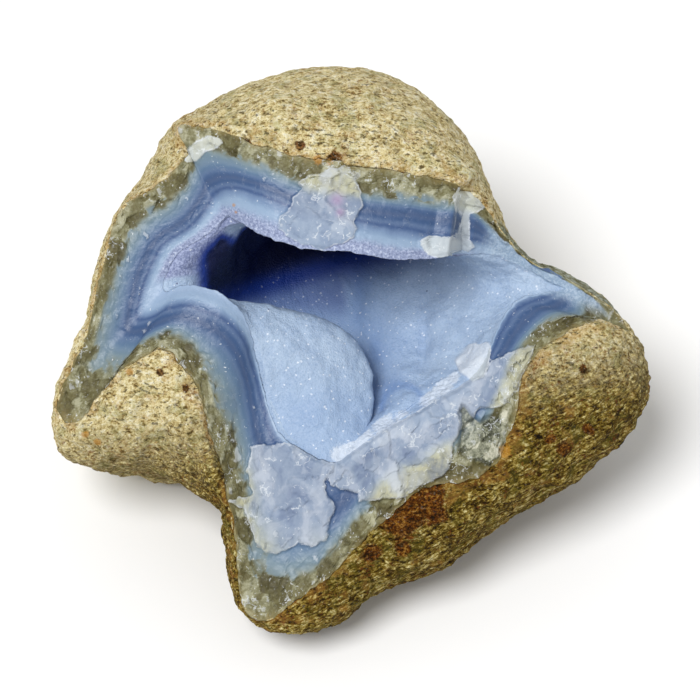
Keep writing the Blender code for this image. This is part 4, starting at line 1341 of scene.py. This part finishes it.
def druse_finish():
    """Sugar-fine blue crystals, pale, with painted shade: bluer far inside and nearly black in the
    cave.

    Painted glints, dark dots, the coarser fringe and the round chip lie over that.
    """
    f = Finish("blue_druse", Specular_IOR_Level=0.35)
    deep, cave, fringe = f.shade("deep"), f.shade("cave"), f.shade("fringe")
    cloud = f.noise(5.0, 3.0, 0.55)
    sugar = f.noise(0.42, 3.0, 0.7)
    facets = f.grains(0.30)
    own = f.random(f.grains(0.30, output=1))
    f.colour = f.blend(f.rise(cloud, 0.35, 0.68), (154, 175, 201), (167, 187, 210))
    f.coat(f.rise(sugar, 0.46, 0.70) * 0.5, (186, 200, 222))
    f.coat(f.rise(sugar, 0.46, 0.34) * 0.35, (122, 144, 182))
    # Painted shade: bluer far inside the hollow and down the view, and darker in the creases
    f.coat(deep * 0.5, (112, 146, 196))
    f.coat(f.shade("crease").least(1.0) * 0.45, (84, 122, 180))
    f.coat(f.rise(f.shade("rim"), 0.0, 0.8) * 0.8, f.blend(
        f.rise(sugar, 0.42, 0.6), (104, 110, 152), (158, 166, 200)))
    # Painted shade: deep blue to nearly black in the cave behind the lip
    f.coat(f.rise(cave, 0.0, 0.75) * 0.97, (1, 42, 128))
    f.coat(f.rise(cave, 0.72, 1.0) * 0.85, (3, 3, 30))
    # Painted glints: white specks on a few crystals, kept out of the painted cave shade
    f.coat(f.rise(own, 0.982, 0.99) * 0.7 * (1.0 - cave), (226, 232, 242))
    dot = f.rise(f.random(f.grains(1.5, output=1, spot=f.position(shift=13.0))), 0.975, 0.98)
    dot = dot * f.rise(f.grains(1.5, spot=f.position(shift=13.0)), 0.16, 0.10)
    f.coat(dot * 0.7, (54, 60, 100))
    f.coat(f.rise(fringe + 0.8 * (sugar - 0.5), 0.3, 0.7) * 0.7, (214, 222, 232))
    f.coat(f.shade("chip") * (0.55 + 0.9 * (cloud - 0.3)), (212, 218, 225))
    body = f.bump(sugar, 0.20, 0.6)
    normal = f.bump(facets, 0.12, 0.7, body)
    rough = 0.5 - 0.2 * f.rise(own, 0.9, 0.95)
    return f.out(Base_Color=f.colour, Roughness=rough, Normal=normal)


def floor_finish():
    """A plain pale floor."""
    f = Finish("pale_floor", Roughness=0.9)
    return f.out(Base_Color=tint(244, 244, 244))


def stretch(where, start, rise, end, fall):
    """1 along a stretch of the ring between two stations, with a smooth rise and fall."""
    return smooth((where - start) / rise) * smooth((end - where) / fall)


def gather_rings():
    """What the pieces share: rings, ragged shifts and stretches, by name.

    The rind edge and the mouth have the step and a ragged shift each. The stretches are the lip
    and the covered right shoulder. The solid's own rings are coarser.
    """
    (outline, rind_edge, mouth, _, _, bands), where = station_rings(ROUND_FINE)
    solid, _ = station_rings(ROUND_SOLID)
    rind_edge = with_step(rind_edge, where)
    mouth = with_step(mouth, where)
    return {
        "outline": outline, "rind_edge": rind_edge, "mouth": mouth, "bands": bands,
        "rind_shift": ragged(rind_edge, *RIND_RAGGED), "mouth_shift": ragged(mouth, *MOUTH_RAGGED),
        "lip": stretch(where, *LIP_STRETCH), "cover": stretch(where, *COVER_STRETCH),
        "solid_outline": solid[0], "solid_hollow": (solid[2], solid[3], solid[4]),
    }


def add_floor():
    """A wide flat sheet that the stone rests on."""
    mesh = bpy.data.meshes.new("floor")
    reach = 3.0
    corners = ((-reach, -reach, 0), (reach, -reach, 0), (reach, reach, 0), (-reach, reach, 0))
    mesh.from_pydata(corners, [], [(0, 1, 2, 3)])
    mesh.materials.append(floor_finish())
    floor = bpy.data.objects.new("floor", mesh)
    bpy.context.scene.collection.objects.link(floor)


def add_light():
    """A large soft sun from above, a little to the front left, and even light all round."""
    sun = bpy.data.lights.new("soft_sun", "SUN")
    sun.energy = SUN_STRENGTH
    sun.angle = SUN_SPREAD
    lamp = bpy.data.objects.new("soft_sun", sun)
    lamp.rotation_euler = [math.radians(degrees) for degrees in SUN_TURN]
    bpy.context.scene.collection.objects.link(lamp)
    world = bpy.data.worlds.new("studio")
    world.use_nodes = True
    sky = world.node_tree.nodes["Background"]
    sky.inputs["Color"].default_value = (1.0, 1.0, 1.0, 1.0)
    sky.inputs["Strength"].default_value = SKY_STRENGTH
    bpy.context.scene.world = world


def add_camera():
    """The front view's camera: on its line of sight, at its distance, with its width."""
    lens = bpy.data.cameras.new("front_view")
    lens.sensor_width = 36.0
    lens.lens = lens.sensor_width * VIEW_DISTANCE / VIEW_WIDTH
    lens.clip_start = 0.01
    camera = bpy.data.objects.new("front_view", lens)
    away = Vector(tuple(TO_VIEWER))
    camera.location = Vector(tuple(VIEW_MIDDLE * MM)) + away * VIEW_DISTANCE * MM
    camera.rotation_euler = (-away).to_track_quat("-Z", "Y").to_euler()
    bpy.context.scene.collection.objects.link(camera)
    bpy.context.scene.camera = camera


def main():
    rings = gather_rings()
    rind = build_rind(rings, rind_finish())
    wall = build_wall(rings, wall_finish())
    druse = build_druse(rings, druse_finish())
    for piece in (rind, wall):
        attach(piece, "root")
        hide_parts("geode_stone")
    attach(druse, "root")
    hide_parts("druzy_crust")
    add_floor()
    add_light()
    add_camera()
    bpy.context.scene.view_settings.view_transform = "Standard"


main()
